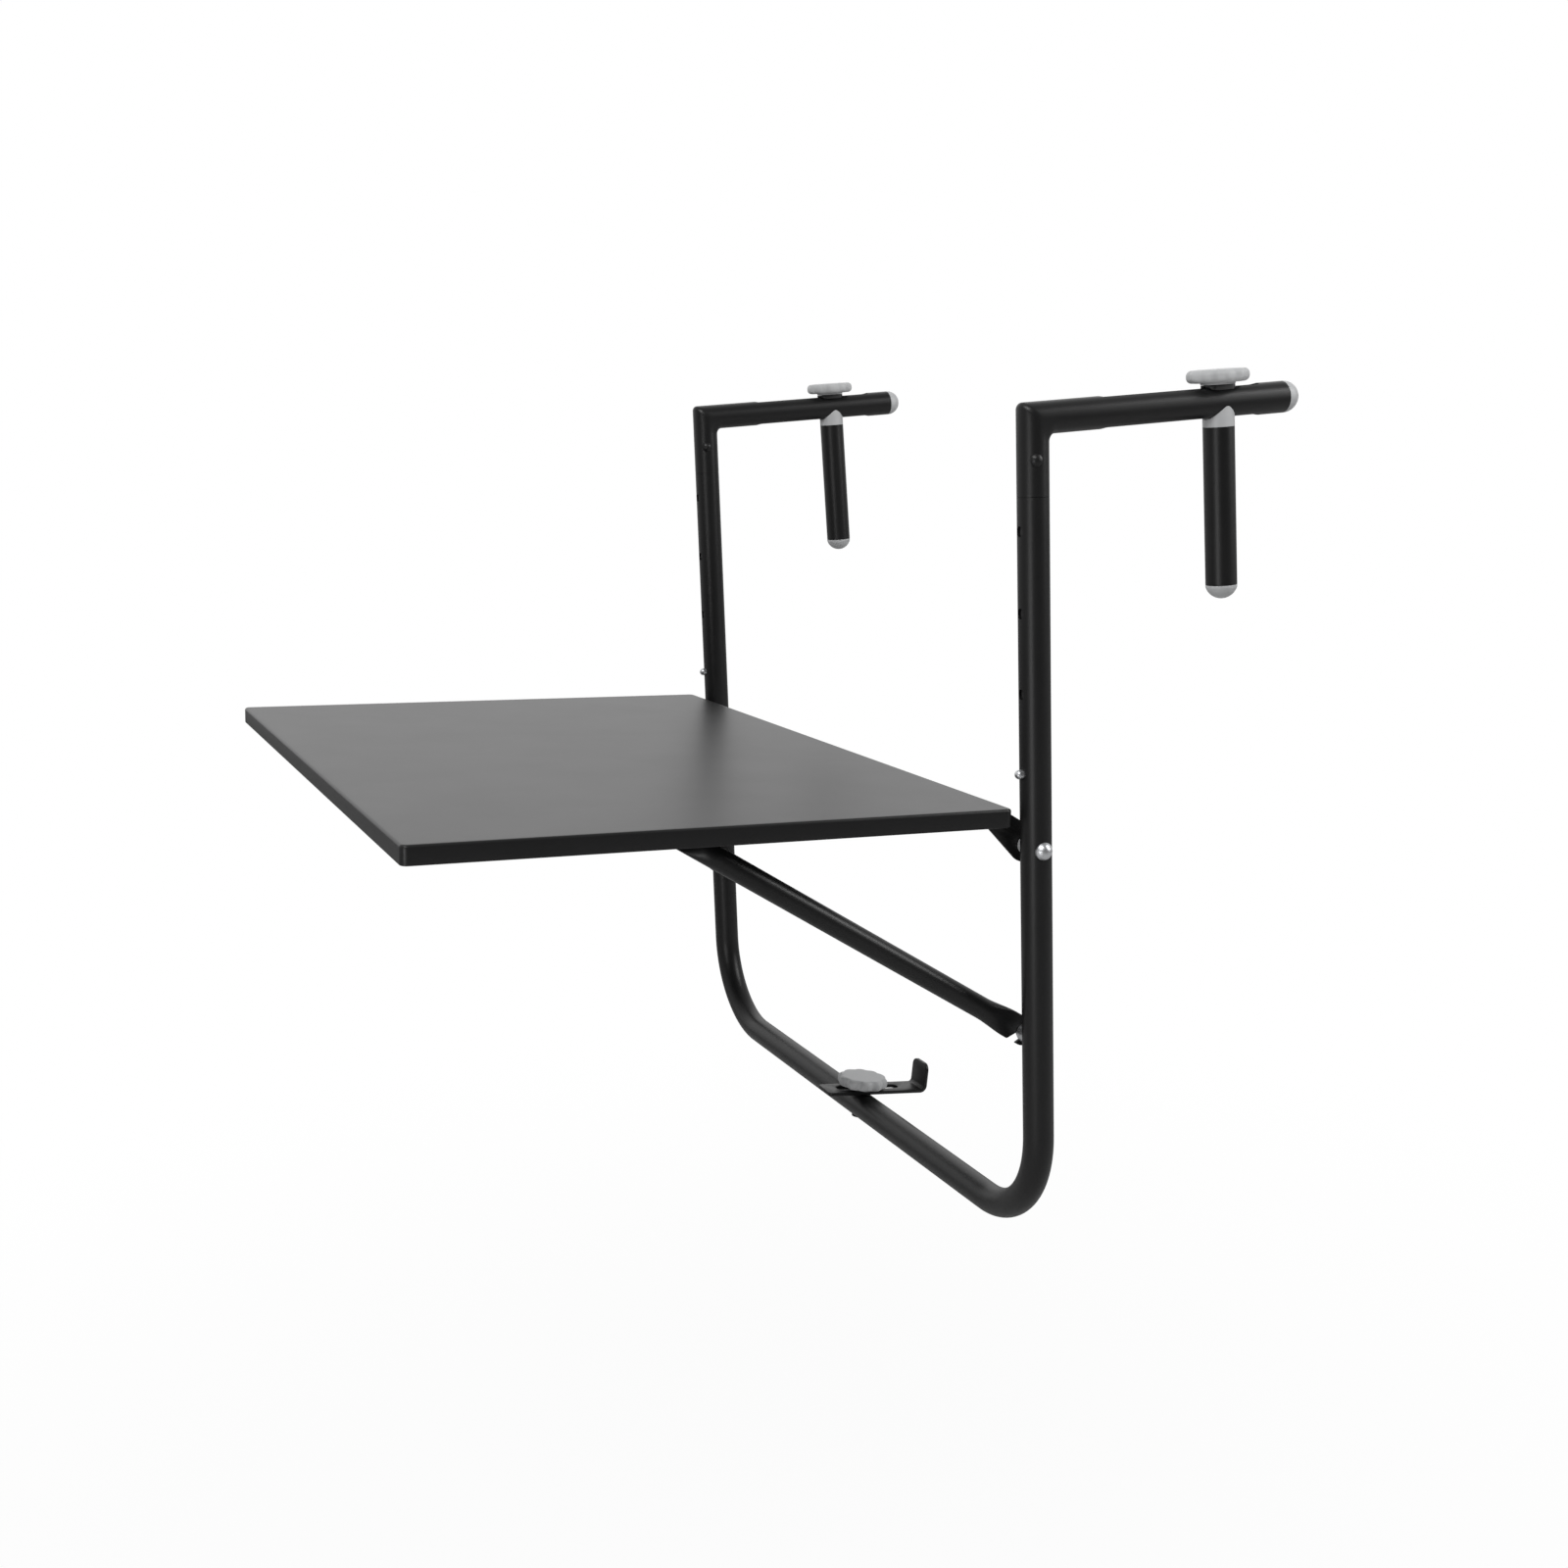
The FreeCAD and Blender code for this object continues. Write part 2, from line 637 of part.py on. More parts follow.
def stiffener(place):
    """A hat-shaped channel spot-welded across the underside of the leaf."""
    top = leaf_under
    low = top - stiffener_height
    t = stiffener_sheet
    half = stiffener_width / 2
    crown = half - stiffener_flange
    slant = 3.0
    outline = [
        (half, top), (half, top - t), (crown + t, top - t), (crown + t - slant, low),
        (-crown - t + slant, low), (-crown - t, top - t), (-half, top - t), (-half, top),
        (-crown, top), (-crown + slant, low + t), (crown - slant, low + t), (crown, top), (half, top),
    ]
    half_length = leaf_width / 2 - stiffener_inset
    points = [V(place + x, -half_length, z) for x, z in outline]
    return on_leaf(Part.Face(Part.makePolygon(points)).extrude(V(0, 2 * half_length, 0)))


def hinge_bracket():
    """The near hinge plate, from the pivot up into the leaf, with a flange under the sheet."""
    eye = bracket_eye
    slope_in = bracket_root
    outline = [
        V(leaf_inner - bracket_reach, 0, leaf_under),
        V(leaf_inner - bracket_reach, 0, leaf_under - bracket_sheet),
        V(leaf_inner - bracket_root - 4, 0, leaf_rim + 1),
        V(leaf_inner - slope_in, 0, leaf_rim - 2),
    ]
    low_angle = math.atan2(outline[-1].z, outline[-1].x)
    dist = math.hypot(outline[-1].x, outline[-1].z)
    touch = low_angle + math.acos(eye / dist)
    low_touch = V(eye * math.cos(touch), 0, eye * math.sin(touch))
    top_corner = V(leaf_inner + 1.5, 0, leaf_under - 2)
    up_angle = math.atan2(top_corner.z, top_corner.x)
    up_touch_angle = up_angle - math.acos(eye / math.hypot(top_corner.x, top_corner.z))
    up_touch = V(eye * math.cos(up_touch_angle), 0, eye * math.sin(up_touch_angle))
    middle = (touch + up_touch_angle) / 2
    if abs(touch - up_touch_angle) < math.pi:
        middle += math.pi
    far_point = V(eye * math.cos(middle), 0, eye * math.sin(middle))
    edges = [Part.LineSegment(a, b).toShape() for a, b in zip(outline, outline[1:])]
    edges += [
        Part.LineSegment(outline[-1], low_touch).toShape(),
        Part.Arc(low_touch, far_point, up_touch).toShape(),
        Part.LineSegment(up_touch, top_corner).toShape(),
        Part.LineSegment(top_corner, V(leaf_inner - leaf_sheet - 1, 0, leaf_under)).toShape(),
        Part.LineSegment(V(leaf_inner - leaf_sheet - 1, 0, leaf_under), outline[0]).toShape(),
    ]
    plate = Part.Face(Part.Wire(edges)).extrude(V(0, bracket_sheet, 0))
    plate.translate(V(0, -bracket_y - bracket_sheet, 0))
    flange_from = leaf_inner - bracket_reach
    flange = Part.makeBox(
        bracket_reach - leaf_lip - 4, bracket_flange, bracket_sheet,
        V(flange_from, -bracket_y - bracket_sheet, leaf_under - bracket_sheet),
    )
    pin_hole = Part.makeCylinder(pivot_pin_d / 2 + bolt_run_gap, tube_d, V(0, -bracket_y - tube_r, 0), Y_AXIS)
    return on_leaf(plate.fuse(flange).removeSplitter().cut(pin_hole))


def leaf_pivot():
    """The near hinge rivet: a domed head outside the upright and a low tail inside the bracket."""
    outer_y = half_spacing + tube_r
    inner_y = bracket_y - run_gap
    shank = Part.makeCylinder(pivot_pin_d / 2, outer_y - inner_y, V(0, -outer_y, pivot_z), Y_AXIS)
    r = pivot_head_d / 2
    skirt = Part.makeCylinder(r, r, V(0, -outer_y, pivot_z), Y_AXIS)
    upright = Part.makeCylinder(tube_r, 4 * r, V(0, -half_spacing, pivot_z - 2 * r), Z_AXIS)
    head = dome(V(0, -outer_y, pivot_z), -Y_AXIS, r, pivot_head_height).fuse(skirt.cut(upright))
    tail = dome(V(0, -inner_y, pivot_z), Y_AXIS, pivot_tail_d / 2, pivot_tail_height)
    return shank.fuse(head).fuse(tail).removeSplitter()


def hinge_washer_piece():
    """The near spacer between upright and hinge bracket, hollowed to sit on the round tube."""
    inner_y = washer_inner_y + run_gap
    disc = Part.makeCylinder(hinge_washer_d / 2, tube_r + hinge_washer, V(0, -inner_y, pivot_z), -Y_AXIS)
    upright = Part.makeCylinder(tube_r, 4 * tube_r, V(0, -half_spacing, pivot_z - 2 * tube_r), Z_AXIS)
    pin = Part.makeCylinder(pivot_pin_d / 2, 4 * tube_r, V(0, -half_spacing - tube_r, pivot_z), Y_AXIS)
    return disc.cut(upright).cut(pin)


# Stay, drawn at its place

bar_local = V(-stay_bar_from_pivot, 0, leaf_top - stay_bar_below_top)
slope = math.radians(leaf_slope)
bar_centre = V(
    bar_local.x * math.cos(slope) + bar_local.z * math.sin(slope),
    0,
    pivot_z - bar_local.x * math.sin(slope) + bar_local.z * math.cos(slope),
)
stud_point = V(0, 0, stud_z)
stay_length = (stud_point - bar_centre).Length
stay_way = (stud_point - bar_centre).normalize()
stay_side = V(stay_way.z, 0, -stay_way.x)
stay_r = stay_d / 2
stay_arm_y = half_spacing - stay_arm_inset
flat_sheet = 2 * stay_wall
flat_outer_y = stay_arm_y + stay_r
flat_y = flat_outer_y - flat_sheet / 2
flat_from = stay_length - stay_flat_length


def on_stay(shape):
    """Moves a shape drawn with Z along the stay's arm and X on its lower side to the stay's place."""
    moved = shape.copy()
    turn = FreeCAD.Rotation(stay_side, Y_AXIS, stay_way, "ZXY")
    moved.Placement = FreeCAD.Placement(bar_centre, turn)
    return moved


def ring_wire(width, thick, offset_y, z):
    """A closed outline in four edges: a circle, or two flat sides along X between round ends."""
    r = thick / 2
    reach = width / 2 - r
    is_round = reach < 1e-6
    k = r * math.sqrt(0.5)
    corner_x, corner_y = (k, k) if is_round else (reach, r)
    middle = V(0, offset_y, z)
    a = middle + V(corner_x, -corner_y, 0)
    b = middle + V(corner_x, corner_y, 0)
    c = middle + V(-corner_x, corner_y, 0)
    d = middle + V(-corner_x, -corner_y, 0)
    if is_round:
        upper = Part.Arc(b, middle + V(0, r, 0), c).toShape()
        lower = Part.Arc(d, middle + V(0, -r, 0), a).toShape()
    else:
        upper = Part.LineSegment(b, c).toShape()
        lower = Part.LineSegment(d, a).toShape()
    right = Part.Arc(a, middle + V(width / 2, 0, 0), b).toShape()
    left = Part.Arc(c, middle + V(-width / 2, 0, 0), d).toShape()
    return Part.Wire([right, upper, left, lower])


def near_stay_end():
    """The near end of the stay: the tube pressed flat, rounded off and notched for its stud."""
    taper_from = flat_from - stay_taper
    outer = Part.makeLoft([
        ring_wire(stay_d, stay_d, -stay_arm_y, taper_from),
        ring_wire(stay_flat_width, flat_sheet, -flat_y, flat_from),
    ], True, True)
    bore_d = stay_d - 2 * stay_wall
    core = Part.makeLoft([
        ring_wire(bore_d, bore_d, -stay_arm_y, taper_from),
        ring_wire(stay_flat_width - 2 * stay_wall, 0.1, -flat_y, flat_from - 1),
    ], True, True)
    tip_z = stay_length + stay_tip
    half = stay_flat_width / 2
    corner = half - 0.5
    bow = corner * math.sqrt(0.5)
    low_z = tip_z - corner
    blade_edges = [
        Part.LineSegment(V(-half, 0, flat_from), V(-half, 0, low_z)).toShape(),
        Part.Arc(V(-half, 0, low_z), V(-0.5 - bow, 0, low_z + bow), V(-0.5, 0, tip_z)).toShape(),
        Part.LineSegment(V(-0.5, 0, tip_z), V(0.5, 0, tip_z)).toShape(),
        Part.Arc(V(0.5, 0, tip_z), V(0.5 + bow, 0, low_z + bow), V(half, 0, low_z)).toShape(),
        Part.LineSegment(V(half, 0, low_z), V(half, 0, flat_from)).toShape(),
        Part.LineSegment(V(half, 0, flat_from), V(-half, 0, flat_from)).toShape(),
    ]
    blade = Part.Face(Part.Wire(blade_edges)).extrude(V(0, flat_sheet, 0))
    blade.translate(V(0, -flat_outer_y, 0))
    end = outer.cut(core).fuse(blade).removeSplitter()
    seat_r = stud_d / 2 + stud_notch_gap
    seat = Part.makeCylinder(seat_r, 2 * stay_d, V(0, -flat_outer_y - stay_r, stay_length), Y_AXIS)
    turn = math.radians(notch_open_turn)
    flare = math.radians(notch_open_flare)
    seat_centre = V(0, 0, stay_length)
    across = V(math.sin(turn), 0, math.cos(turn)) * seat_r
    tip_side = V(math.cos(turn - flare), 0, -math.sin(turn - flare)) * stay_flat_width
    bar_side = V(math.cos(turn + flare), 0, -math.sin(turn + flare)) * stay_flat_width
    mouth_points = [
        seat_centre + across,
        seat_centre - across,
        seat_centre - across + bar_side,
        seat_centre + across + tip_side,
        seat_centre + across,
    ]
    mouth = Part.Face(Part.makePolygon(mouth_points)).extrude(V(0, 2 * stay_d, 0))
    mouth.translate(V(0, -flat_outer_y - stay_r, 0))
    return end.cut(seat).cut(mouth)


def stay_tube():
    """The stay: one tube bent to a U, its cross bar under the leaf and its ends on the studs."""
    arm_from = flat_from - stay_taper
    corners = [
        V(0, -stay_arm_y, arm_from),
        V(0, -stay_arm_y, 0),
        V(0, stay_arm_y, 0),
        V(0, stay_arm_y, arm_from),
    ]
    tube = bent_bar(corners, stay_bend, stay_r).cut(bent_bar(corners, stay_bend, stay_r - stay_wall))
    end = near_stay_end()
    whole = tube.fuse(end).fuse(mirrored(end)).removeSplitter()
    return on_stay(whole)


def stay_clip(side):
    """A strap under the leaf in which the stay's cross bar turns, drawn about the bar."""
    inner_r = stay_r + run_gap
    outer_r = inner_r + clip_sheet
    up = stay_bar_below_top - leaf_sheet
    foot_low = up - clip_sheet
    foot_end = outer_r + clip_foot
    edges = [
        Part.LineSegment(V(-foot_end, 0, up), V(-inner_r, 0, up)).toShape(),
        Part.LineSegment(V(-inner_r, 0, up), V(-inner_r, 0, 0)).toShape(),
        Part.Arc(V(-inner_r, 0, 0), V(0, 0, -inner_r), V(inner_r, 0, 0)).toShape(),
        Part.LineSegment(V(inner_r, 0, 0), V(inner_r, 0, up)).toShape(),
        Part.LineSegment(V(inner_r, 0, up), V(foot_end, 0, up)).toShape(),
        Part.LineSegment(V(foot_end, 0, up), V(foot_end, 0, foot_low)).toShape(),
        Part.LineSegment(V(foot_end, 0, foot_low), V(outer_r, 0, foot_low)).toShape(),
        Part.LineSegment(V(outer_r, 0, foot_low), V(outer_r, 0, 0)).toShape(),
        Part.Arc(V(outer_r, 0, 0), V(0, 0, -outer_r), V(-outer_r, 0, 0)).toShape(),
        Part.LineSegment(V(-outer_r, 0, 0), V(-outer_r, 0, foot_low)).toShape(),
        Part.LineSegment(V(-outer_r, 0, foot_low), V(-foot_end, 0, foot_low)).toShape(),
        Part.LineSegment(V(-foot_end, 0, foot_low), V(-foot_end, 0, up)).toShape(),
    ]
    strap = Part.Face(Part.Wire(edges)).extrude(V(0, clip_width, 0))
    middle_y = side * clip_place - clip_width / 2
    strap.translate(V(-stay_bar_from_pivot, middle_y, leaf_top - stay_bar_below_top))
    return on_leaf(strap)


def stay_stud():
    """The near shoulder stud: a collar on the upright, the shank the notch drops on, and its head."""
    collar_y = flat_outer_y + stud_side_gap
    head_y = flat_outer_y - flat_sheet - stud_side_gap
    collar = Part.makeCylinder(stud_collar_d / 2, half_spacing - collar_y, V(0, -collar_y, stud_z), -Y_AXIS)
    upright = Part.makeCylinder(tube_r, 4 * tube_r, V(0, -half_spacing, stud_z - 2 * tube_r), Z_AXIS)
    inside_y = half_spacing - tube_r + tube_wall + 2
    shank = Part.makeCylinder(stud_d / 2, inside_y - head_y, V(0, -inside_y, stud_z), Y_AXIS)
    head = dome(V(0, -head_y, stud_z), Y_AXIS, stud_head_d / 2, stud_head_height)
    return collar.cut(upright).fuse(shank).fuse(head).removeSplitter()


# Bumper, drawn about the bottom tube's axis with Z through the bolt

strip_low = tube_r + run_gap
strip_high = strip_low + bumper_sheet
bumper_knob_seat = strip_high + run_gap


def bumper_strip():
    """The slotted strip on the bottom tube, turned up at the end that meets the railing."""
    r = bumper_bend
    t = bumper_sheet
    top = strip_low + bumper_height
    front = bumper_front
    edges = [
        Part.LineSegment(V(-bumper_back, 0, strip_low), V(front - r - t, 0, strip_low)).toShape(),
        Part.Arc(
            V(front - r - t, 0, strip_low),
            V(front - (r + t) * (1 - math.sqrt(0.5)), 0, strip_low + (r + t) * (1 - math.sqrt(0.5))),
            V(front, 0, strip_low + r + t),
        ).toShape(),
        Part.LineSegment(V(front, 0, strip_low + r + t), V(front, 0, top)).toShape(),
        Part.LineSegment(V(front, 0, top), V(front - t, 0, top)).toShape(),
        Part.LineSegment(V(front - t, 0, top), V(front - t, 0, strip_high + r)).toShape(),
        Part.Arc(
            V(front - t, 0, strip_high + r),
            V(front - t - r * (1 - math.sqrt(0.5)), 0, strip_high + r * (1 - math.sqrt(0.5))),
            V(front - t - r, 0, strip_high),
        ).toShape(),
        Part.LineSegment(V(front - t - r, 0, strip_high), V(-bumper_back, 0, strip_high)).toShape(),
        Part.LineSegment(V(-bumper_back, 0, strip_high), V(-bumper_back, 0, strip_low)).toShape(),
    ]
    strip = Part.Face(Part.Wire(edges)).extrude(V(0, bumper_width, 0))
    strip.translate(V(0, -bumper_width / 2, 0))
    back_corners = [e for e in strip.Edges if len(e.Vertexes) == 2
                    and all(abs(v.X + bumper_back) < 1e-6 for v in e.Vertexes)
                    and abs(e.Vertexes[0].Y - e.Vertexes[1].Y) < 1e-6]
    strip = strip.makeFillet(bumper_corner / 2, back_corners)
    top_corners = [e for e in strip.Edges if len(e.Vertexes) == 2
                   and all(abs(v.Z - top) < 1e-6 for v in e.Vertexes)
                   and abs(e.Vertexes[0].Y - e.Vertexes[1].Y) < 1e-6]
    strip = strip.makeFillet(bumper_corner, top_corners)
    slot = slot_solid(-bumper_slot_back, bumper_slot_front, slot_width, 0, strip_high + 1)
    return on_bumper(strip.cut(slot))


def bumper_bolt():
    """The round-headed bolt up through the bottom tube and the strip's slot."""
    top = bumper_knob_seat + knob_thread_depth - run_gap
    shank = Part.makeCylinder(clamp_bolt_d / 2, top + tube_r, V(0, 0, -tube_r), Z_AXIS)
    r = bumper_head_d / 2
    skirt = Part.makeCylinder(r, r, V(0, 0, -tube_r), Z_AXIS)
    tube = Part.makeCylinder(tube_r, 4 * r, V(0, -2 * r, 0), Y_AXIS)
    head = dome(V(0, 0, -tube_r), -Z_AXIS, r, bumper_head_height).fuse(skirt.cut(tube))
    return on_bumper(shank.fuse(head).removeSplitter())


def bumper_knob():
    """The grey knob that clamps the strip."""
    body = knob()
    body.translate(V(0, 0, bumper_knob_seat))
    return on_bumper(body)


def bumper_knob_insert():
    """The threaded insert of the bumper knob."""
    insert = knob_insert()
    insert.translate(V(0, 0, bumper_knob_seat))
    return on_bumper(insert)


def pair(shape):
    """Two like solids in one node, near and far."""
    return Part.makeCompound([shape, mirrored(shape)])


def nodes():
    """Every piece by its name."""
    made = {}
    for name, side in SIDES.items():
        place = post_places[name]
        made["arm_" + name] = arm(side)
        made["arm_cap_" + name] = arm_cap(side)
        made["inner_leg_" + name] = inner_leg(side)
        made["button_spring_" + name] = button_spring(side)
        made["height_button_" + name] = height_button(side)
        made["clamp_collar_" + name] = clamp_collar(side, place)
        made["clamp_knob_" + name] = clamp_knob(side, place)
        made["clamp_knob_insert_" + name] = clamp_knob_insert(side, place)
        made["clamp_bolt_" + name] = clamp_bolt(side, place)
        made["clamp_saddle_" + name] = saddle(side, place)
        made["clamp_post_" + name] = post(side, place)
        made["clamp_post_cap_" + name] = post_cap(side, place)
        made["clamp_post_pin_" + name] = post_pin(side, place)
        made["stay_clip_" + name] = stay_clip(side)
    made["leg_rivets"] = Part.makeCompound([leg_rivet_piece(side) for side in SIDES.values()])
    made["frame_tube"] = frame_tube()
    bracket = hinge_bracket()
    made["hinge_bracket_near"] = bracket
    made["hinge_bracket_far"] = mirrored(bracket)
    made["leaf_pivots"] = pair(leaf_pivot())
    made["hinge_washers"] = pair(hinge_washer_piece())
    made["leaf_panel"] = leaf_panel()
    made["stiffener_inner"] = stiffener(leaf_inner - stiffener_from_inner_edge)
    made["stiffener_outer"] = stiffener(leaf_outer + stiffener_from_outer_edge)
    made["stay_tube"] = stay_tube()
    made["stay_studs"] = pair(stay_stud())
    made["bumper_strip"] = bumper_strip()
    made["bumper_bolt"] = bumper_bolt()
    made["bumper_knob"] = bumper_knob()
    made["bumper_knob_insert"] = bumper_knob_insert()
    return made


for name, shape in nodes().items():
    shape.exportStep("parts/" + name + ".step")
    box = shape.BoundBox
    print(name, shape.isValid(), len(shape.Solids), round(shape.Volume, 1),
          [round(v, 1) for v in (box.XMin, box.XMax, box.YMin, box.YMax, box.ZMin, box.ZMax)])
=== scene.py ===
"""Looks of a folding balcony table that hangs from a railing.

Sizes are in metres, in the frame of the CAD model: +Z up, +X over the railing, near pieces at -Y.
"""
import json
import math

import bmesh
import bpy
from mathutils import Matrix, Vector


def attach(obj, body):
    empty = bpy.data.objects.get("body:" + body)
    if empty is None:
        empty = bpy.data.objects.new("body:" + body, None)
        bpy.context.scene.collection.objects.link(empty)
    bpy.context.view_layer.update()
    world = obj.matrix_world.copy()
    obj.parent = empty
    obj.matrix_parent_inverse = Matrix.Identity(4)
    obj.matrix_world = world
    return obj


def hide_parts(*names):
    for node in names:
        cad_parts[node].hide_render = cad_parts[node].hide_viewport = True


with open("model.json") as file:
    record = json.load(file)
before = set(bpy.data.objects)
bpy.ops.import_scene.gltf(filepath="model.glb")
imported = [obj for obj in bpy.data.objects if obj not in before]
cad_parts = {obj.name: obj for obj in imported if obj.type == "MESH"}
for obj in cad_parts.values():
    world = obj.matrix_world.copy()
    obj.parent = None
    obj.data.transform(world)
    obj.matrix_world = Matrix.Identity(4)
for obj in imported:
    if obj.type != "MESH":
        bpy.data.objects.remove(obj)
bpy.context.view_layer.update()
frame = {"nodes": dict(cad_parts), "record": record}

bl_info = {
    "name": "Railing Table",
    "version": (1, 0, 0),
    "blender": (4, 5, 0),
    "location": "View3D > Sidebar > Railing Table",
    "description": "Builds the pieces and finishes of a folding table that hangs from a balcony railing",
    "category": "Add Mesh",
}

SIDES = {"near": -1, "far": 1}
POST_PLACES = {"near": 0.149, "far": 0.1305}
ARM_LENGTHS = {"near": 0.2025, "far": 0.1905}
X_AXIS, Y_AXIS, Z_AXIS = Vector((1, 0, 0)), Vector((0, 1, 0)), Vector((0, 0, 1))
SMOOTH_ANGLE = math.radians(32)
ON_AXIS = 1e-7


def length(name, value, description):
    """A size in metres, shown with the scene's length unit."""
    return bpy.props.FloatProperty(
        name=name, description=description, default=value, min=0.0, soft_max=2.0,
        subtype="DISTANCE", unit="LENGTH", precision=5,
    )


def turn(name, degrees, description):
    """An angle, given in degrees."""
    return bpy.props.FloatProperty(
        name=name, description=description, default=math.radians(degrees), subtype="ANGLE", unit="ROTATION",
    )


def tint(name, value, description):
    """A colour in scene linear values."""
    return bpy.props.FloatVectorProperty(
        name=name, description=description, default=value, size=3, min=0.0, max=1.0, subtype="COLOR",
    )


def number(name, value, description):
    """A count of like things."""
    return bpy.props.IntProperty(name=name, description=description, default=value, min=1, soft_max=256)


class RailingTableSizes(bpy.types.PropertyGroup):
    """Sizes of the table's pieces."""

    tube_sides: number("Tube sides", 64, "Faces around a tube")
    tube_r: length("Tube radius", 0.011, "Outer radius of arms, uprights and posts")
    tube_wall: length("Tube wall", 0.0012, "Wall of the arms and the frame")
    half_spacing: length("Half spacing", 0.2925, "From the middle plane to an upright's axis")
    arm_rise: turn("Arm rise", 2.0, "Slope of the arms towards their ends")
    arm_leg: length("Arm leg", 0.051, "From the mitred corner down to the seam")
    slot_width: length("Slot width", 0.009, "Width of the slots in arms and strip")
    slot_start: length("Slot start", 0.0515, "Start of the arm's slot from the corner")
    slot_from_end: length("Slot from end", 0.020, "From the arm's slot to the arm's end")
    corner_round: length("Corner round", 0.0036, "Radius of the dressed weld along the mitre's outer edge")
    corner_fillet: length("Corner fillet", 0.005, "Radius of the dressed weld in the corner's inner side")
    frame_depth: length("Frame depth", 0.579, "From the corner down to the bottom bar's axis")
    frame_bend: length("Frame bend", 0.075, "Bend radius of the frame's lower corners")
    frame_gap: length("Frame gap", 0.0003, "Gap between the arm's leg and the upright")
    bend_steps: number("Bend steps", 28, "Steps round a bend")
    hole_count: number("Height holes", 4, "Height holes on each upright")
    hole_pitch: length("Hole pitch", 0.055, "Distance between height holes")
    hole_r: length("Hole radius", 0.0036, "Radius of the height holes")
    lowest_hole: length("Lowest hole", 0.2388, "From the corner down to the lowest hole")
    pivot_drop: length("Pivot drop", 0.2924, "From the corner down to the leaf's pivot")
    post_wall: length("Post wall", 0.0015, "Wall of the posts")
    post_top: length("Post top", 0.0165, "From the arm's axis down to the post's top")
    post_end: length("Post end", 0.126, "From the arm's axis down to the post's lower end")
    cap_rim: length("Cap rim", 0.0016, "Straight rim of an end cap")
    cap_dome: length("Arm cap dome", 0.0105, "Height of an arm cap's dome")
    post_cap_dome: length("Post cap dome", 0.0084, "Height of a post cap's dome")
    cap_spigot: length("Cap spigot", 0.011, "Length of an end cap inside its tube")
    knob_r: length("Knob radius", 0.0215, "Outer radius of a knob")
    knob_lobes: number("Knob lobes", 10, "Lobes round a knob")
    knob_hollow: length("Knob hollow", 0.0020, "Depth of the hollows between lobes")
    knob_thick: length("Knob thickness", 0.0088, "Thickness of a knob without its hub")
    knob_edge: length("Knob edge", 0.0038, "Radius of a knob's rims")
    knob_hub_r: length("Knob hub radius", 0.012, "Radius of the hub under a knob")
    knob_hub: length("Knob hub height", 0.0014, "Height of the hub under a knob")
    insert_r: length("Insert radius", 0.006, "Radius of a knob's threaded insert")
    insert_depth: length("Insert depth", 0.0085, "Depth of a knob's threaded insert")
    clamp_seat: length("Clamp knob seat", 0.0122, "From the arm's axis up to the knob's hub")
    leaf_width: length("Leaf width", 0.6, "Size of the leaf along the railing")
    leaf_depth: length("Leaf depth", 0.42, "Size of the leaf away from the railing")
    leaf_slope: turn("Leaf slope", 4.0, "Slope of the leaf, outer edge up")
    leaf_inner: length("Leaf inner edge", 0.0238, "From the pivot out to the leaf's inner edge")
    leaf_top: length("Leaf top", 0.0303, "From the pivot up to the leaf's top face")
    leaf_apron: length("Leaf apron", 0.013, "Height of the leaf's folded edge")
    leaf_sheet: length("Leaf sheet", 0.001, "Thickness of the leaf's sheet")
    leaf_lip: length("Leaf lip", 0.007, "Width of the lip folded in below the apron")
    leaf_corner: length("Leaf corner", 0.005, "Radius of the leaf's corners")
    leaf_edge: length("Leaf edge", 0.002, "Radius of the leaf's upper edge")
    notch_y: length("Notch place", 0.2774, "Middle of a hinge bracket along Y")
    notch_wide: length("Notch width", 0.0028, "Width of the notches for the hinge brackets")
    stay_r: length("Stay radius", 0.008, "Outer radius of the stay")
    stay_bend: length("Stay bend", 0.034, "Bend radius of the stay")
    stay_drop: length("Stay drop", 0.1391, "From the pivot down to the studs")
    stay_bar: length("Stay bar place", 0.258, "From the pivot out to the stay's bar along the leaf")
    stay_under: length("Stay bar depth", 0.01035, "From the leaf's top face down to the bar's axis")
    stay_half: length("Stay half spacing", 0.266, "From the middle plane to the stay's arm")
    stay_flat: length("Stay flat", 0.014, "Length of the flattened end above the stud")
    stay_flat_width: length("Stay flat width", 0.020, "Width of the flattened end")
    stay_flat_thick: length("Stay flat thickness", 0.0024, "Thickness of the flattened end")
    stay_taper: length("Stay taper", 0.022, "Length over which the tube is pressed flat")
    stay_tip: length("Stay tip", 0.01, "From the stud to the tip of the flattened end")
    seat_r: length("Notch seat radius", 0.0030, "Radius of the notch that drops on a stud")
    notch_turn: turn("Notch turn", 32.0, "Slope of the notch towards the stay's bar")
    notch_flare: turn("Notch flare", 2.5, "How much each side of the notch opens")
    bumper_tilt: turn("Bumper tilt", 8.5, "Tilt of the bumper strip towards the railing")
    bumper_seat: length("Bumper knob seat", 0.0146, "From the bottom bar's axis up to the knob's hub")


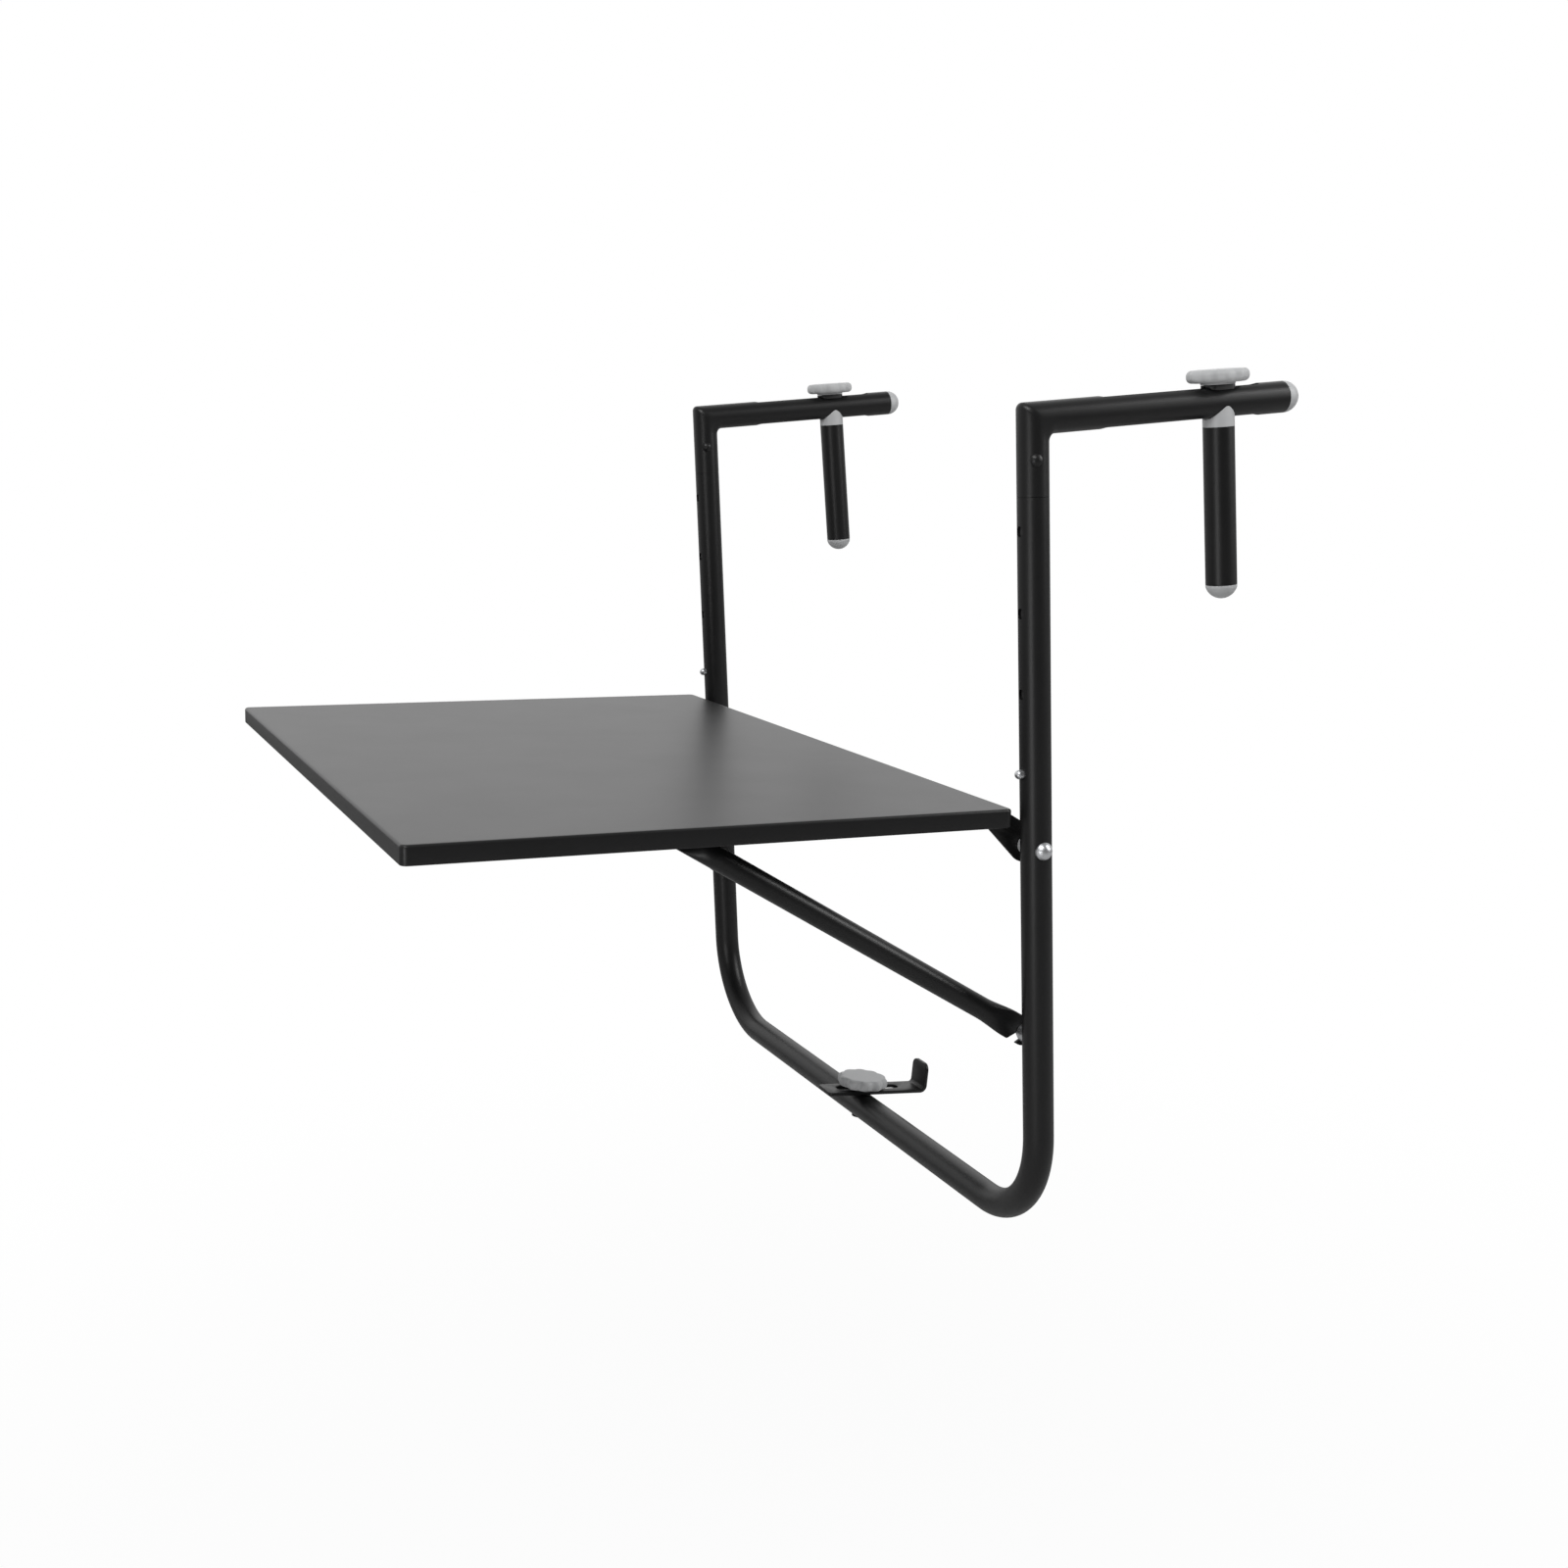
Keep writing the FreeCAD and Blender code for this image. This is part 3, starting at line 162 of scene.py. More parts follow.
class RailingTableFinishes(bpy.types.PropertyGroup):
    """Colours of the table's finishes."""

    coat: tint("Powder coat", (0.0055, 0.0055, 0.0057), "Satin black coat on the steel")
    coat_worn: tint("Powder coat, raised", (0.0085, 0.0085, 0.0087), "The coat where its film is thicker")
    grey: tint("Grey plastic", (0.44, 0.445, 0.45), "Knobs, caps, saddles and washers")
    grey_dark: tint("Grey plastic, shaded", (0.39, 0.395, 0.4), "Flow marks in the grey plastic")
    dark: tint("Black plastic", (0.014, 0.014, 0.015), "The collars under the clamp knobs")
    zinc: tint("Zinc plate", (0.62, 0.63, 0.645), "Rivets, buttons, bolts and inserts")
    spring: tint("Spring steel", (0.33, 0.335, 0.34), "The clips behind the height buttons")
    floor: tint("Floor", (0.45, 0.45, 0.45), "The floor under the table")


# Shared places


def sizes():
    return bpy.context.scene.railing_table_sizes


def finishes():
    return bpy.context.scene.railing_table_finishes


def corner_z():
    """Height of the arm's axis above the railing at the mitred corner."""
    s = sizes()
    return s.tube_r / math.cos(s.arm_rise)


def pivot_z():
    return corner_z() - sizes().pivot_drop


def bottom_z():
    return corner_z() - sizes().frame_depth


def arm_matrix(side, place):
    """From a drawing about the origin, X along the arm and Z up, to a place on an arm."""
    s = sizes()
    out, up = place * math.cos(s.arm_rise), place * math.sin(s.arm_rise)
    at = Vector((out, side * s.half_spacing, corner_z() + up))
    return Matrix.Translation(at) @ Matrix.Rotation(-s.arm_rise, 4, "Y")


def leaf_matrix():
    """From a drawing about the pivot, leaf towards -X and level, to the leaf's slope."""
    return Matrix.Translation((0, 0, pivot_z())) @ Matrix.Rotation(sizes().leaf_slope, 4, "Y")


def bumper_matrix():
    """From a drawing about the bottom bar's axis, Z through the bolt, to the bumper's tilt."""
    return Matrix.Translation((0, 0, bottom_z())) @ Matrix.Rotation(sizes().bumper_tilt, 4, "Y")


# Mesh tools


def linked(name, mesh):
    """A new object with a mesh, in the scene's own collection."""
    piece = bpy.data.objects.new(name, mesh)
    bpy.context.scene.collection.objects.link(piece)
    return piece


def mesh_from(name, bm):
    mesh = bpy.data.meshes.new(name)
    bm.to_mesh(mesh)
    bm.free()
    return mesh


def skin(bm, rings):
    """Quads between rings of equal count. A ring is a list of places."""
    loops = [[bm.verts.new(place) for place in ring] for ring in rings]
    for first, second in zip(loops, loops[1:]):
        count = len(first)
        for k in range(count):
            bm.faces.new((first[k], first[(k + 1) % count], second[(k + 1) % count], second[k]))
    return loops


def closed_skin(name, rings):
    """A closed mesh over rings of equal count, with one face on the first and one on the last."""
    bm = bmesh.new()
    loops = skin(bm, rings)
    bm.faces.new(list(reversed(loops[0])))
    bm.faces.new(loops[-1])
    bmesh.ops.recalc_face_normals(bm, faces=bm.faces)
    return mesh_from(name, bm)


def lathe(name, profile, steps):
    """Turns a profile of (radius, height) about Z. Both ends on the axis close with a pole."""
    bm = bmesh.new()
    rings = []
    for radius, height in profile:
        if radius < ON_AXIS:
            rings.append([bm.verts.new((0, 0, height))])
        else:
            turns = [2 * math.pi * k / steps for k in range(steps)]
            rings.append([bm.verts.new((radius * math.cos(a), radius * math.sin(a), height)) for a in turns])
    for first, second in zip(rings, rings[1:]):
        for k in range(steps):
            after = (k + 1) % steps
            if len(first) == 1:
                bm.faces.new((first[0], second[after], second[k]))
            elif len(second) == 1:
                bm.faces.new((first[k], first[after], second[0]))
            else:
                bm.faces.new((first[k], first[after], second[after], second[k]))
    bmesh.ops.recalc_face_normals(bm, faces=bm.faces)
    return mesh_from(name, bm)


def arc(centre, radius, start, end, steps):
    """Points (x, y) of an arc, angles in degrees, both ends included."""
    angles = [math.radians(start + (end - start) * k / steps) for k in range(steps + 1)]
    return [(centre[0] + radius * math.cos(a), centre[1] + radius * math.sin(a)) for a in angles]


def tube_rings(points, radius, sides):
    """Rings along a run of straight stretches, mitred at each point in between."""
    ways = [(b - a).normalized() for a, b in zip(points, points[1:])]
    nearly_along = 0.9
    flat = Y_AXIS if abs(ways[0].y) < nearly_along else X_AXIS
    across = ways[0].cross(flat).normalized()
    other = ways[0].cross(across)
    rings = []
    for index, point in enumerate(points):
        way_in = ways[max(index - 1, 0)]
        way_out = ways[min(index, len(ways) - 1)]
        plane = (way_in + way_out).normalized()
        ring = []
        for k in range(sides):
            angle = 2 * math.pi * k / sides
            offset = across * (radius * math.cos(angle)) + other * (radius * math.sin(angle))
            ring.append(point + offset - way_in * (offset.dot(plane) / way_in.dot(plane)))
        rings.append(ring)
        if 0 < index < len(ways):
            spin = way_in.rotation_difference(way_out)
            across = spin @ across
            other = spin @ other
    return rings


def tube_shell(name, points, outer, inner, sides):
    """A tube with its wall, open at both ends."""
    bm = bmesh.new()
    outside = skin(bm, tube_rings(points, outer, sides))
    inside = skin(bm, [list(reversed(ring)) for ring in tube_rings(points, inner, sides)])
    for end in (0, -1):
        for k in range(sides):
            a, b = outside[end][k], outside[end][(k + 1) % sides]
            c, d = inside[end][sides - 1 - k], inside[end][(sides - 2 - k) % sides]
            bm.faces.new((a, b, d, c))
    bmesh.ops.recalc_face_normals(bm, faces=bm.faces)
    return mesh_from(name, bm)


def slot_prism(name, start, end, width, low, high):
    """An upright prism with round ends along X, for cutting."""
    r = width / 2
    steps = 16
    outline = arc((end - r, 0), r, -90, 90, steps) + arc((start + r, 0), r, 90, 270, steps)
    return closed_skin(name, [[Vector((x, y, z)) for x, y in outline] for z in (low, high)])


def settle(piece):
    """Applies every modifier of a piece, so that only its mesh is left."""
    graph = bpy.context.evaluated_depsgraph_get()
    graph.update()
    mesh = bpy.data.meshes.new_from_object(piece.evaluated_get(graph), depsgraph=graph)
    mesh.name = piece.name
    piece.modifiers.clear()
    piece.data = mesh
    return piece


def cut(piece, *cutters):
    """Takes cutters out of a piece, then removes them."""
    for cutter in cutters:
        modifier = piece.modifiers.new("cut", "BOOLEAN")
        modifier.operation = "DIFFERENCE"
        modifier.solver = "EXACT"
        modifier.object = cutter
    settle(piece)
    for cutter in cutters:
        bpy.data.objects.remove(cutter)


def shade(piece):
    """Smooth faces with sharp edges only where the surface really turns."""
    mesh = piece.data
    mesh.polygons.foreach_set("use_smooth", [True] * len(mesh.polygons))
    mesh.set_sharp_from_angle(angle=SMOOTH_ANGLE)
    return piece


def softened(name, node, width):
    """A copy of a CAD node with its loose triangles merged and its edges rounded."""
    same_place, same_plane, sharp = 1e-6, math.radians(0.5), math.radians(40)
    bm = bmesh.new()
    bm.from_mesh(frame["nodes"][node].data)
    bmesh.ops.remove_doubles(bm, verts=bm.verts, dist=same_place)
    bmesh.ops.dissolve_limit(bm, angle_limit=same_plane, verts=bm.verts, edges=bm.edges)
    piece = linked(name, mesh_from(name, bm))
    bevel = piece.modifiers.new("edges", "BEVEL")
    bevel.width = width
    bevel.segments = 2
    bevel.limit_method = "ANGLE"
    bevel.angle_limit = sharp
    return shade(settle(piece))


# Geometry Nodes tools


def new_tree(name, inputs):
    """A Geometry Nodes tree with a geometry input and output and named inputs."""
    tree = bpy.data.node_groups.new(name, "GeometryNodeTree")
    tree.interface.new_socket("Geometry", in_out="INPUT", socket_type="NodeSocketGeometry")
    for label, kind in inputs:
        tree.interface.new_socket(label, in_out="INPUT", socket_type="NodeSocket" + kind)
    tree.interface.new_socket("Material", in_out="INPUT", socket_type="NodeSocketMaterial")
    tree.interface.new_socket("Geometry", in_out="OUTPUT", socket_type="NodeSocketGeometry")
    start = tree.nodes.new("NodeGroupInput")
    end = tree.nodes.new("NodeGroupOutput")
    real = tree.nodes.new("GeometryNodeRealizeInstances")
    paint = tree.nodes.new("GeometryNodeSetMaterial")
    tree.links.new(real.outputs[0], paint.inputs["Geometry"])
    tree.links.new(start.outputs["Material"], paint.inputs["Material"])
    tree.links.new(paint.outputs[0], end.inputs[0])
    return tree, start, real


def add_node(tree, kind, links=None, **values):
    """Adds a node; links maps its input to an output socket, other values are set on the node."""
    node = tree.nodes.new(kind)
    for key, value in values.items():
        setattr(node, key, value)
    for key, source in (links or {}).items():
        if isinstance(source, bpy.types.NodeSocket):
            tree.links.new(source, node.inputs[key])
        else:
            node.inputs[key].default_value = source
    return node


def math_node(tree, operation, a, b=0.0):
    return add_node(tree, "ShaderNodeMath", {0: a, 1: b}, operation=operation).outputs[0]


def grown(piece, tree, material, **values):
    """Runs a tree on a piece with named inputs and keeps only the plain mesh it makes."""
    modifier = piece.modifiers.new("nodes", "NODES")
    modifier.node_group = tree
    values["Material"] = material
    for item in tree.interface.items_tree:
        if item.in_out == "INPUT" and item.name in values:
            modifier[item.identifier] = values[item.name]
    settle(piece)


def bent_tube_tree():
    """A tube along a run of straight stretches, its corners bent to one radius."""
    tree, start, real = new_tree("Bent tube", [
        ("Bend Radius", "Float"), ("Bend Steps", "Int"), ("Outer Radius", "Float"),
        ("Inner Radius", "Float"), ("Sides", "Int"),
    ])
    path = add_node(tree, "GeometryNodeMeshToCurve", {0: start.outputs["Geometry"]})
    bent = add_node(tree, "GeometryNodeFilletCurve", {
        "Curve": path.outputs[0], "Radius": start.outputs["Bend Radius"],
        "Count": start.outputs["Bend Steps"],
    }, mode="POLY")
    skins = []
    for label in ("Outer Radius", "Inner Radius"):
        round_ = add_node(tree, "GeometryNodeCurvePrimitiveCircle", {
            "Resolution": start.outputs["Sides"], "Radius": start.outputs[label],
        })
        swept = add_node(tree, "GeometryNodeCurveToMesh", {
            "Curve": bent.outputs[0], "Profile Curve": round_.outputs[0],
        })
        skins.append(swept.outputs[0])
    turned = add_node(tree, "GeometryNodeFlipFaces", {0: skins[1]})
    both = add_node(tree, "GeometryNodeJoinGeometry")
    tree.links.new(skins[0], both.inputs[0])
    tree.links.new(turned.outputs[0], both.inputs[0])
    tree.links.new(both.outputs[0], real.inputs[0])
    return tree


def row_tree():
    """Round cutters in a row upwards, each lying along X."""
    peg_sides = 32
    tree, start, real = new_tree("Row of holes", [
        ("Count", "Int"), ("Pitch", "Float"), ("Radius", "Float"), ("Depth", "Float"),
    ])
    step = add_node(tree, "ShaderNodeCombineXYZ", {"Z": start.outputs["Pitch"]})
    row = add_node(tree, "GeometryNodeMeshLine", {
        "Count": start.outputs["Count"], "Offset": step.outputs[0],
    })
    peg = add_node(tree, "GeometryNodeMeshCylinder", {
        "Vertices": peg_sides, "Radius": start.outputs["Radius"], "Depth": start.outputs["Depth"],
    })
    pegs = add_node(tree, "GeometryNodeInstanceOnPoints", {
        "Points": row.outputs[0], "Instance": peg.outputs[0], "Rotation": (0, math.pi / 2, 0),
    })
    tree.links.new(pegs.outputs[0], real.inputs[0])
    return tree


def lobe_tree():
    """Draws a turned form in towards its axis between evenly spaced lobes."""
    lobe_fullness, on_axis = 1.35, 1e-6
    tree, start, real = new_tree("Lobes", [
        ("Count", "Int"), ("Hollow", "Float"), ("Start Radius", "Float"), ("Outer Radius", "Float"),
    ])
    place = add_node(tree, "GeometryNodeInputPosition").outputs[0]
    apart = add_node(tree, "ShaderNodeSeparateXYZ", {0: place})
    x, y = apart.outputs[0], apart.outputs[1]
    radius = math_node(tree, "SQRT", math_node(tree, "ADD", math_node(tree, "MULTIPLY", x, x),
                                              math_node(tree, "MULTIPLY", y, y)))
    angle = math_node(tree, "ARCTAN2", y, x)
    wave = math_node(tree, "COSINE", math_node(tree, "MULTIPLY", angle, start.outputs["Count"]))
    valley = math_node(tree, "MULTIPLY", math_node(tree, "SUBTRACT", 1.0, wave), 0.5)
    valley = math_node(tree, "POWER", valley, lobe_fullness)
    share = add_node(tree, "ShaderNodeMapRange", {
        "Value": radius, "From Min": start.outputs["Start Radius"],
        "From Max": start.outputs["Outer Radius"],
    })
    inward = math_node(tree, "MULTIPLY", math_node(tree, "MULTIPLY", valley, share.outputs[0]),
                       start.outputs["Hollow"])
    scale = math_node(tree, "DIVIDE", math_node(tree, "SUBTRACT", radius, inward),
                      math_node(tree, "MAXIMUM", radius, on_axis))
    new_x, new_y = math_node(tree, "MULTIPLY", x, scale), math_node(tree, "MULTIPLY", y, scale)
    moved = add_node(tree, "ShaderNodeCombineXYZ", {0: new_x, 1: new_y, 2: apart.outputs[2]})
    shaped = add_node(tree, "GeometryNodeSetPosition", {
        "Geometry": start.outputs["Geometry"], "Position": moved.outputs[0],
    })
    tree.links.new(shaped.outputs[0], real.inputs[0])
    return tree


# Finishes


def shader_group(name, inputs, outputs):
    """An empty shader group with float inputs and outputs."""
    group = bpy.data.node_groups.new(name, "ShaderNodeTree")
    for label, default in inputs:
        socket = group.interface.new_socket(label, in_out="INPUT", socket_type="NodeSocketFloat")
        socket.default_value = default
    for label in outputs:
        group.interface.new_socket(label, in_out="OUTPUT", socket_type="NodeSocketFloat")
    return group, group.nodes.new("NodeGroupInput"), group.nodes.new("NodeGroupOutput")


def grain_group():
    """A fine orange-peel height with a slow patchiness, both from Object coordinates."""
    if "Fine Grain" in bpy.data.node_groups:
        return bpy.data.node_groups["Fine Grain"]
    inputs = [("Grain Scale", 900.0), ("Patch Scale", 22.0), ("Patch Contrast", 0.5)]
    group, start, end = shader_group("Fine Grain", inputs, ["Height", "Patches"])
    cell_scale, cell_height, middle = 0.6, 0.5, 0.5
    place = group.nodes.new("ShaderNodeTexCoord").outputs["Object"]
    fine = add_node(group, "ShaderNodeTexNoise", {
        "Vector": place, "Scale": start.outputs["Grain Scale"], "Detail": 2.0, "Roughness": 0.55,
    })
    cells = add_node(group, "ShaderNodeTexVoronoi", {
        "Vector": place, "Scale": math_node(group, "MULTIPLY", start.outputs["Grain Scale"], cell_scale),
    }, feature="SMOOTH_F1")
    dimples = math_node(group, "MULTIPLY", cells.outputs["Distance"], cell_height)
    height = math_node(group, "ADD", fine.outputs[0], dimples)
    slow = add_node(group, "ShaderNodeTexNoise", {
        "Vector": place, "Scale": start.outputs["Patch Scale"], "Detail": 4.0, "Roughness": 0.6,
    })
    centred = math_node(group, "SUBTRACT", slow.outputs[0], middle)
    patch = add_node(group, "ShaderNodeMath", {
        0: centred, 1: start.outputs["Patch Contrast"], 2: middle,
    }, operation="MULTIPLY_ADD")
    group.links.new(height, end.inputs["Height"])
    group.links.new(patch.outputs[0], end.inputs["Patches"])
    return group


def streak_group():
    """Fine drawn lines round or along a metal piece, from Object coordinates."""
    if "Drawn Lines" in bpy.data.node_groups:
        return bpy.data.node_groups["Drawn Lines"]
    group, start, end = shader_group("Drawn Lines", [("Line Scale", 1200.0), ("Stretch", 0.06)], ["Lines"])
    place = group.nodes.new("ShaderNodeTexCoord").outputs["Object"]
    pulled = add_node(group, "ShaderNodeCombineXYZ", {0: 1.0, 1: 1.0, 2: start.outputs["Stretch"]})
    stretched = add_node(group, "ShaderNodeVectorMath", {
        0: place, 1: pulled.outputs[0],
    }, operation="MULTIPLY")
    lines = add_node(group, "ShaderNodeTexNoise", {
        "Vector": stretched.outputs[0], "Scale": start.outputs["Line Scale"], "Detail": 3.0,
    })
    group.links.new(lines.outputs[0], end.inputs["Lines"])
    return group


def group_node(material, group, **values):
    node = material.node_tree.nodes.new("ShaderNodeGroup")
    node.node_tree = group
    for key, value in values.items():
        node.inputs[key.replace("_", " ")].default_value = value
    return node


def new_material(name, metallic, roughness, specular=0.5):
    """A material with one Principled shader and its constants on the shader's own sockets."""
    material = bpy.data.materials.new(name)
    material.use_nodes = True
    shader = material.node_tree.nodes["Principled BSDF"]
    shader.inputs["Metallic"].default_value = metallic
    shader.inputs["Roughness"].default_value = roughness
    shader.inputs["Specular IOR Level"].default_value = specular
    return material, shader


def wire_patches(material, shader, source, low, high, low_rough, high_rough):
    """Runs a mask into the base colour between two colours and into roughness between two values."""
    tree = material.node_tree
    mix = add_node(tree, "ShaderNodeMix", {
        "Factor": source, 6: (*low, 1.0), 7: (*high, 1.0),
    }, data_type="RGBA")
    tree.links.new(mix.outputs[2], shader.inputs["Base Color"])
    rough = add_node(tree, "ShaderNodeMapRange", {
        "Value": source, "To Min": low_rough, "To Max": high_rough,
    })
    tree.links.new(rough.outputs[0], shader.inputs["Roughness"])


def wire_bump(material, shader, height, strength, distance):
    tree = material.node_tree
    bump = add_node(tree, "ShaderNodeBump", {"Height": height, "Strength": strength, "Distance": distance})
    tree.links.new(bump.outputs[0], shader.inputs["Normal"])


def darker(colour, share):
    """A colour times a share, for the shaded marks in a finish."""
    return tuple(c * share for c in colour)


def powder_coat():
    """Satin black powder coat with a fine orange peel."""
    if "Satin black powder coat" in bpy.data.materials:
        return bpy.data.materials["Satin black powder coat"]
    f = finishes()
    material, shader = new_material("Satin black powder coat", 0.0, 0.38, specular=0.3)
    grain = group_node(material, grain_group(), Grain_Scale=820.0, Patch_Scale=16.0, Patch_Contrast=1.1)
    wire_patches(material, shader, grain.outputs["Patches"], f.coat, f.coat_worn,
                 low_rough=0.365, high_rough=0.4)
    wire_bump(material, shader, grain.outputs["Height"], strength=0.1, distance=0.00015)
    return material


def moulded_plastic(name, colour, shaded, rough):
    """A moulded plastic with a fine grain and faint flow marks."""
    if name in bpy.data.materials:
        return bpy.data.materials[name]
    material, shader = new_material(name, 0.0, rough, specular=0.45)
    grain = group_node(material, grain_group(), Grain_Scale=1500.0, Patch_Scale=60.0, Patch_Contrast=1.4)
    wire_patches(material, shader, grain.outputs["Patches"], shaded, colour,
                 low_rough=rough - 0.05, high_rough=rough + 0.06)
    wire_bump(material, shader, grain.outputs["Height"], strength=0.18, distance=0.0001)
    return material


def grey_plastic():
    f = finishes()
    return moulded_plastic("Moulded grey plastic", f.grey, f.grey_dark, 0.5)


def black_plastic():
    f = finishes()
    return moulded_plastic("Moulded black plastic", f.dark, darker(f.dark, 0.8), 0.48)


def plated_steel(name, colour, rough):
    """Plated steel with fine drawn lines and slight clouding."""
    if name in bpy.data.materials:
        return bpy.data.materials[name]
    material, shader = new_material(name, 1.0, rough)
    grain = group_node(material, grain_group(), Grain_Scale=1400.0, Patch_Scale=120.0, Patch_Contrast=1.5)
    lines = group_node(material, streak_group(), Line_Scale=1600.0, Stretch=0.08)
    wire_patches(material, shader, grain.outputs["Patches"], darker(colour, 0.86), colour,
                 low_rough=rough - 0.04, high_rough=rough + 0.08)
    wire_bump(material, shader, lines.outputs["Lines"], strength=0.12, distance=0.00008)
    return material


def zinc():
    return plated_steel("Zinc plated steel", finishes().zinc, 0.38)


def spring_steel():
    return plated_steel("Bare spring steel", finishes().spring, 0.34)


FINISH_OF_SLOT = {
    "black_powder_coat": powder_coat,
    "grey_plastic": grey_plastic,
    "dark_plastic": black_plastic,
    "zinc_steel": zinc,
    "spring_steel": spring_steel,
}


def body_of_node(node):
    """The body that the record gives a node."""
    for body, nodes in frame["record"]["behaviour"]["bodies"].items():
        if node in nodes:
            return body
    raise RuntimeError("no body holds " + node)


def slot_of_node(node):
    """The material slot that the record gives a node."""
    for entry in frame["record"]["subparts"]:
        if entry["node"] == node:
            return entry["material_slot"]
    raise RuntimeError("no slot for " + node)


def stand_in(piece, node):
    """Gives a new piece the finish, the body and the slot of the CAD node that it stands for."""
    slot = slot_of_node(node)
    mesh = piece.data
    mesh.materials.clear()
    mesh.materials.append(FINISH_OF_SLOT[slot]())
    mesh.polygons.foreach_set("material_index", [0] * len(mesh.polygons))
    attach(piece, body_of_node(node))
    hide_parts(node)


# Pieces


def filleted_rings(corner, along, leg, run_length):
    """Rings of a mitred tube from leg to arm, its outer edge rounded and its inner side filled."""
    s = sizes()
    bend = math.pi / 2 + s.arm_rise
    turn_by = math.pi - bend
    stations, straight = 17, 4
    up_leg, away_leg = Z_AXIS, X_AXIS
    away_arm = (Matrix.Rotation(-math.pi / 2, 3, "Y") @ along) * -1
    rings = [[] for _ in range(stations + 2)]
    for k in range(s.tube_sides):
        angle = 2 * math.pi * k / s.tube_sides
        inward, aside = s.tube_r * math.cos(angle), Y_AXIS * (s.tube_r * math.sin(angle))
        fillet = s.corner_fillet + s.tube_r - inward
        meet = corner + aside + (along - up_leg) * (inward / math.sin(bend))
        reach = fillet * math.tan(turn_by / 2)
        first, radius = (0, fillet) if inward > 0 else (straight, s.corner_round)
        centre = meet + (along - up_leg) * (radius / math.sin(bend))
        arc_reach = radius * math.tan(turn_by / 2)
        rings[0].append(corner + aside + away_leg * inward - up_leg * leg)
        for j in range(stations):
            share = (j - first) / (stations - 1 - 2 * first)
            if 0 <= share <= 1:
                place = centre - (Matrix.Rotation(turn_by * share, 3, "Y") @ away_leg) * radius
            else:
                step = min(j, stations - 1 - j) / first
                off = reach + (arc_reach - reach) * step
                place = meet + along * off if share > 1 else meet - up_leg * off
            rings[j + 1].append(place)
        rings[-1].append(corner + aside + away_arm * inward + along * run_length)
    return rings


class RAILINGTABLE_OT_arms(bpy.types.Operator):
    """Builds the two mitred arms with their slots."""

    bl_idname = "railing_table.arms"
    bl_label = "Arms"

    def execute(self, context):
        s = sizes()
        bore_r, beyond = s.tube_r - s.tube_wall, 0.01
        for name, side in SIDES.items():
            along = arm_matrix(side, 0).to_3x3() @ X_AXIS
            corner = Vector((0, side * s.half_spacing, corner_z()))
            arm_length = ARM_LENGTHS[name]
            shell = closed_skin("run", filleted_rings(corner, along, s.arm_leg, arm_length))
            arm = linked("arm_tube_" + name, shell)
            foot, tip = corner - Z_AXIS * (s.arm_leg + beyond), corner + along * (arm_length + beyond)
            bore = closed_skin("run", tube_rings([foot, corner, tip], bore_r, s.tube_sides))
            slot_end = arm_length - s.slot_from_end
            slot = slot_prism("slot", s.slot_start, slot_end, s.slot_width, -2 * s.tube_r, 2 * s.tube_r)
            slot.transform(arm_matrix(side, 0))
            cut(arm, linked("bore", bore), linked("slot", slot))
            stand_in(shade(arm), "arm_" + name)
        return {"FINISHED"}


def end_cap(name, outer, bore, dome):
    """A pressed-in cap, its rim's back face at the origin and its dome towards +Z."""
    s = sizes()
    top = s.cap_rim + dome
    edge, lead_in, lead_length, steps = 0.0003, 0.0008, 0.002, 18
    profile = [(0, -s.cap_spigot), (bore - lead_in, -s.cap_spigot), (bore, -s.cap_spigot + lead_length),
               (bore, 0), (outer - edge, 0), (outer, edge), (outer, s.cap_rim)]
    ball_r = (outer * outer + dome * dome) / (2 * dome)
    whole = math.asin(outer / ball_r)
    for k in range(1, steps + 1):
        angle = whole * (1 - k / steps)
        profile.append((ball_r * math.sin(angle), top - ball_r * (1 - math.cos(angle))))
    return lathe(name, profile, s.tube_sides)


class RAILINGTABLE_OT_caps(bpy.types.Operator):
    """Builds the grey caps of the arms and the posts."""

    bl_idname = "railing_table.caps"
    bl_label = "End caps"

    def execute(self, context):
        s = sizes()
        for name, side in SIDES.items():
            mesh = end_cap("cap", s.tube_r, s.tube_r - s.tube_wall, s.cap_dome)
            mesh.transform(arm_matrix(side, ARM_LENGTHS[name]) @ Matrix.Rotation(math.pi / 2, 4, "Y"))
            stand_in(shade(linked("arm_end_cap_" + name, mesh)), "arm_cap_" + name)
            mesh = end_cap("cap", s.tube_r, s.tube_r - s.post_wall, s.post_cap_dome)
            place = arm_matrix(side, POST_PLACES[name]) @ Matrix.Translation((0, 0, -s.post_end))
            mesh.transform(place @ Matrix.Rotation(math.pi, 4, "X"))
            stand_in(shade(linked("post_end_cap_" + name, mesh)), "clamp_post_cap_" + name)
        return {"FINISHED"}


class RAILINGTABLE_OT_posts(bpy.types.Operator):
    """Builds the two posts behind the railing."""

    bl_idname = "railing_table.posts"
    bl_label = "Posts"

    def execute(self, context):
        s = sizes()
        for name, side in SIDES.items():
            points = [Vector((0, 0, -s.post_end)), Vector((0, 0, -s.post_top))]
            mesh = tube_shell("post", points, s.tube_r, s.tube_r - s.post_wall, s.tube_sides)
            mesh.transform(arm_matrix(side, POST_PLACES[name]))
            stand_in(shade(linked("post_tube_" + name, mesh)), "clamp_post_" + name)
        return {"FINISHED"}


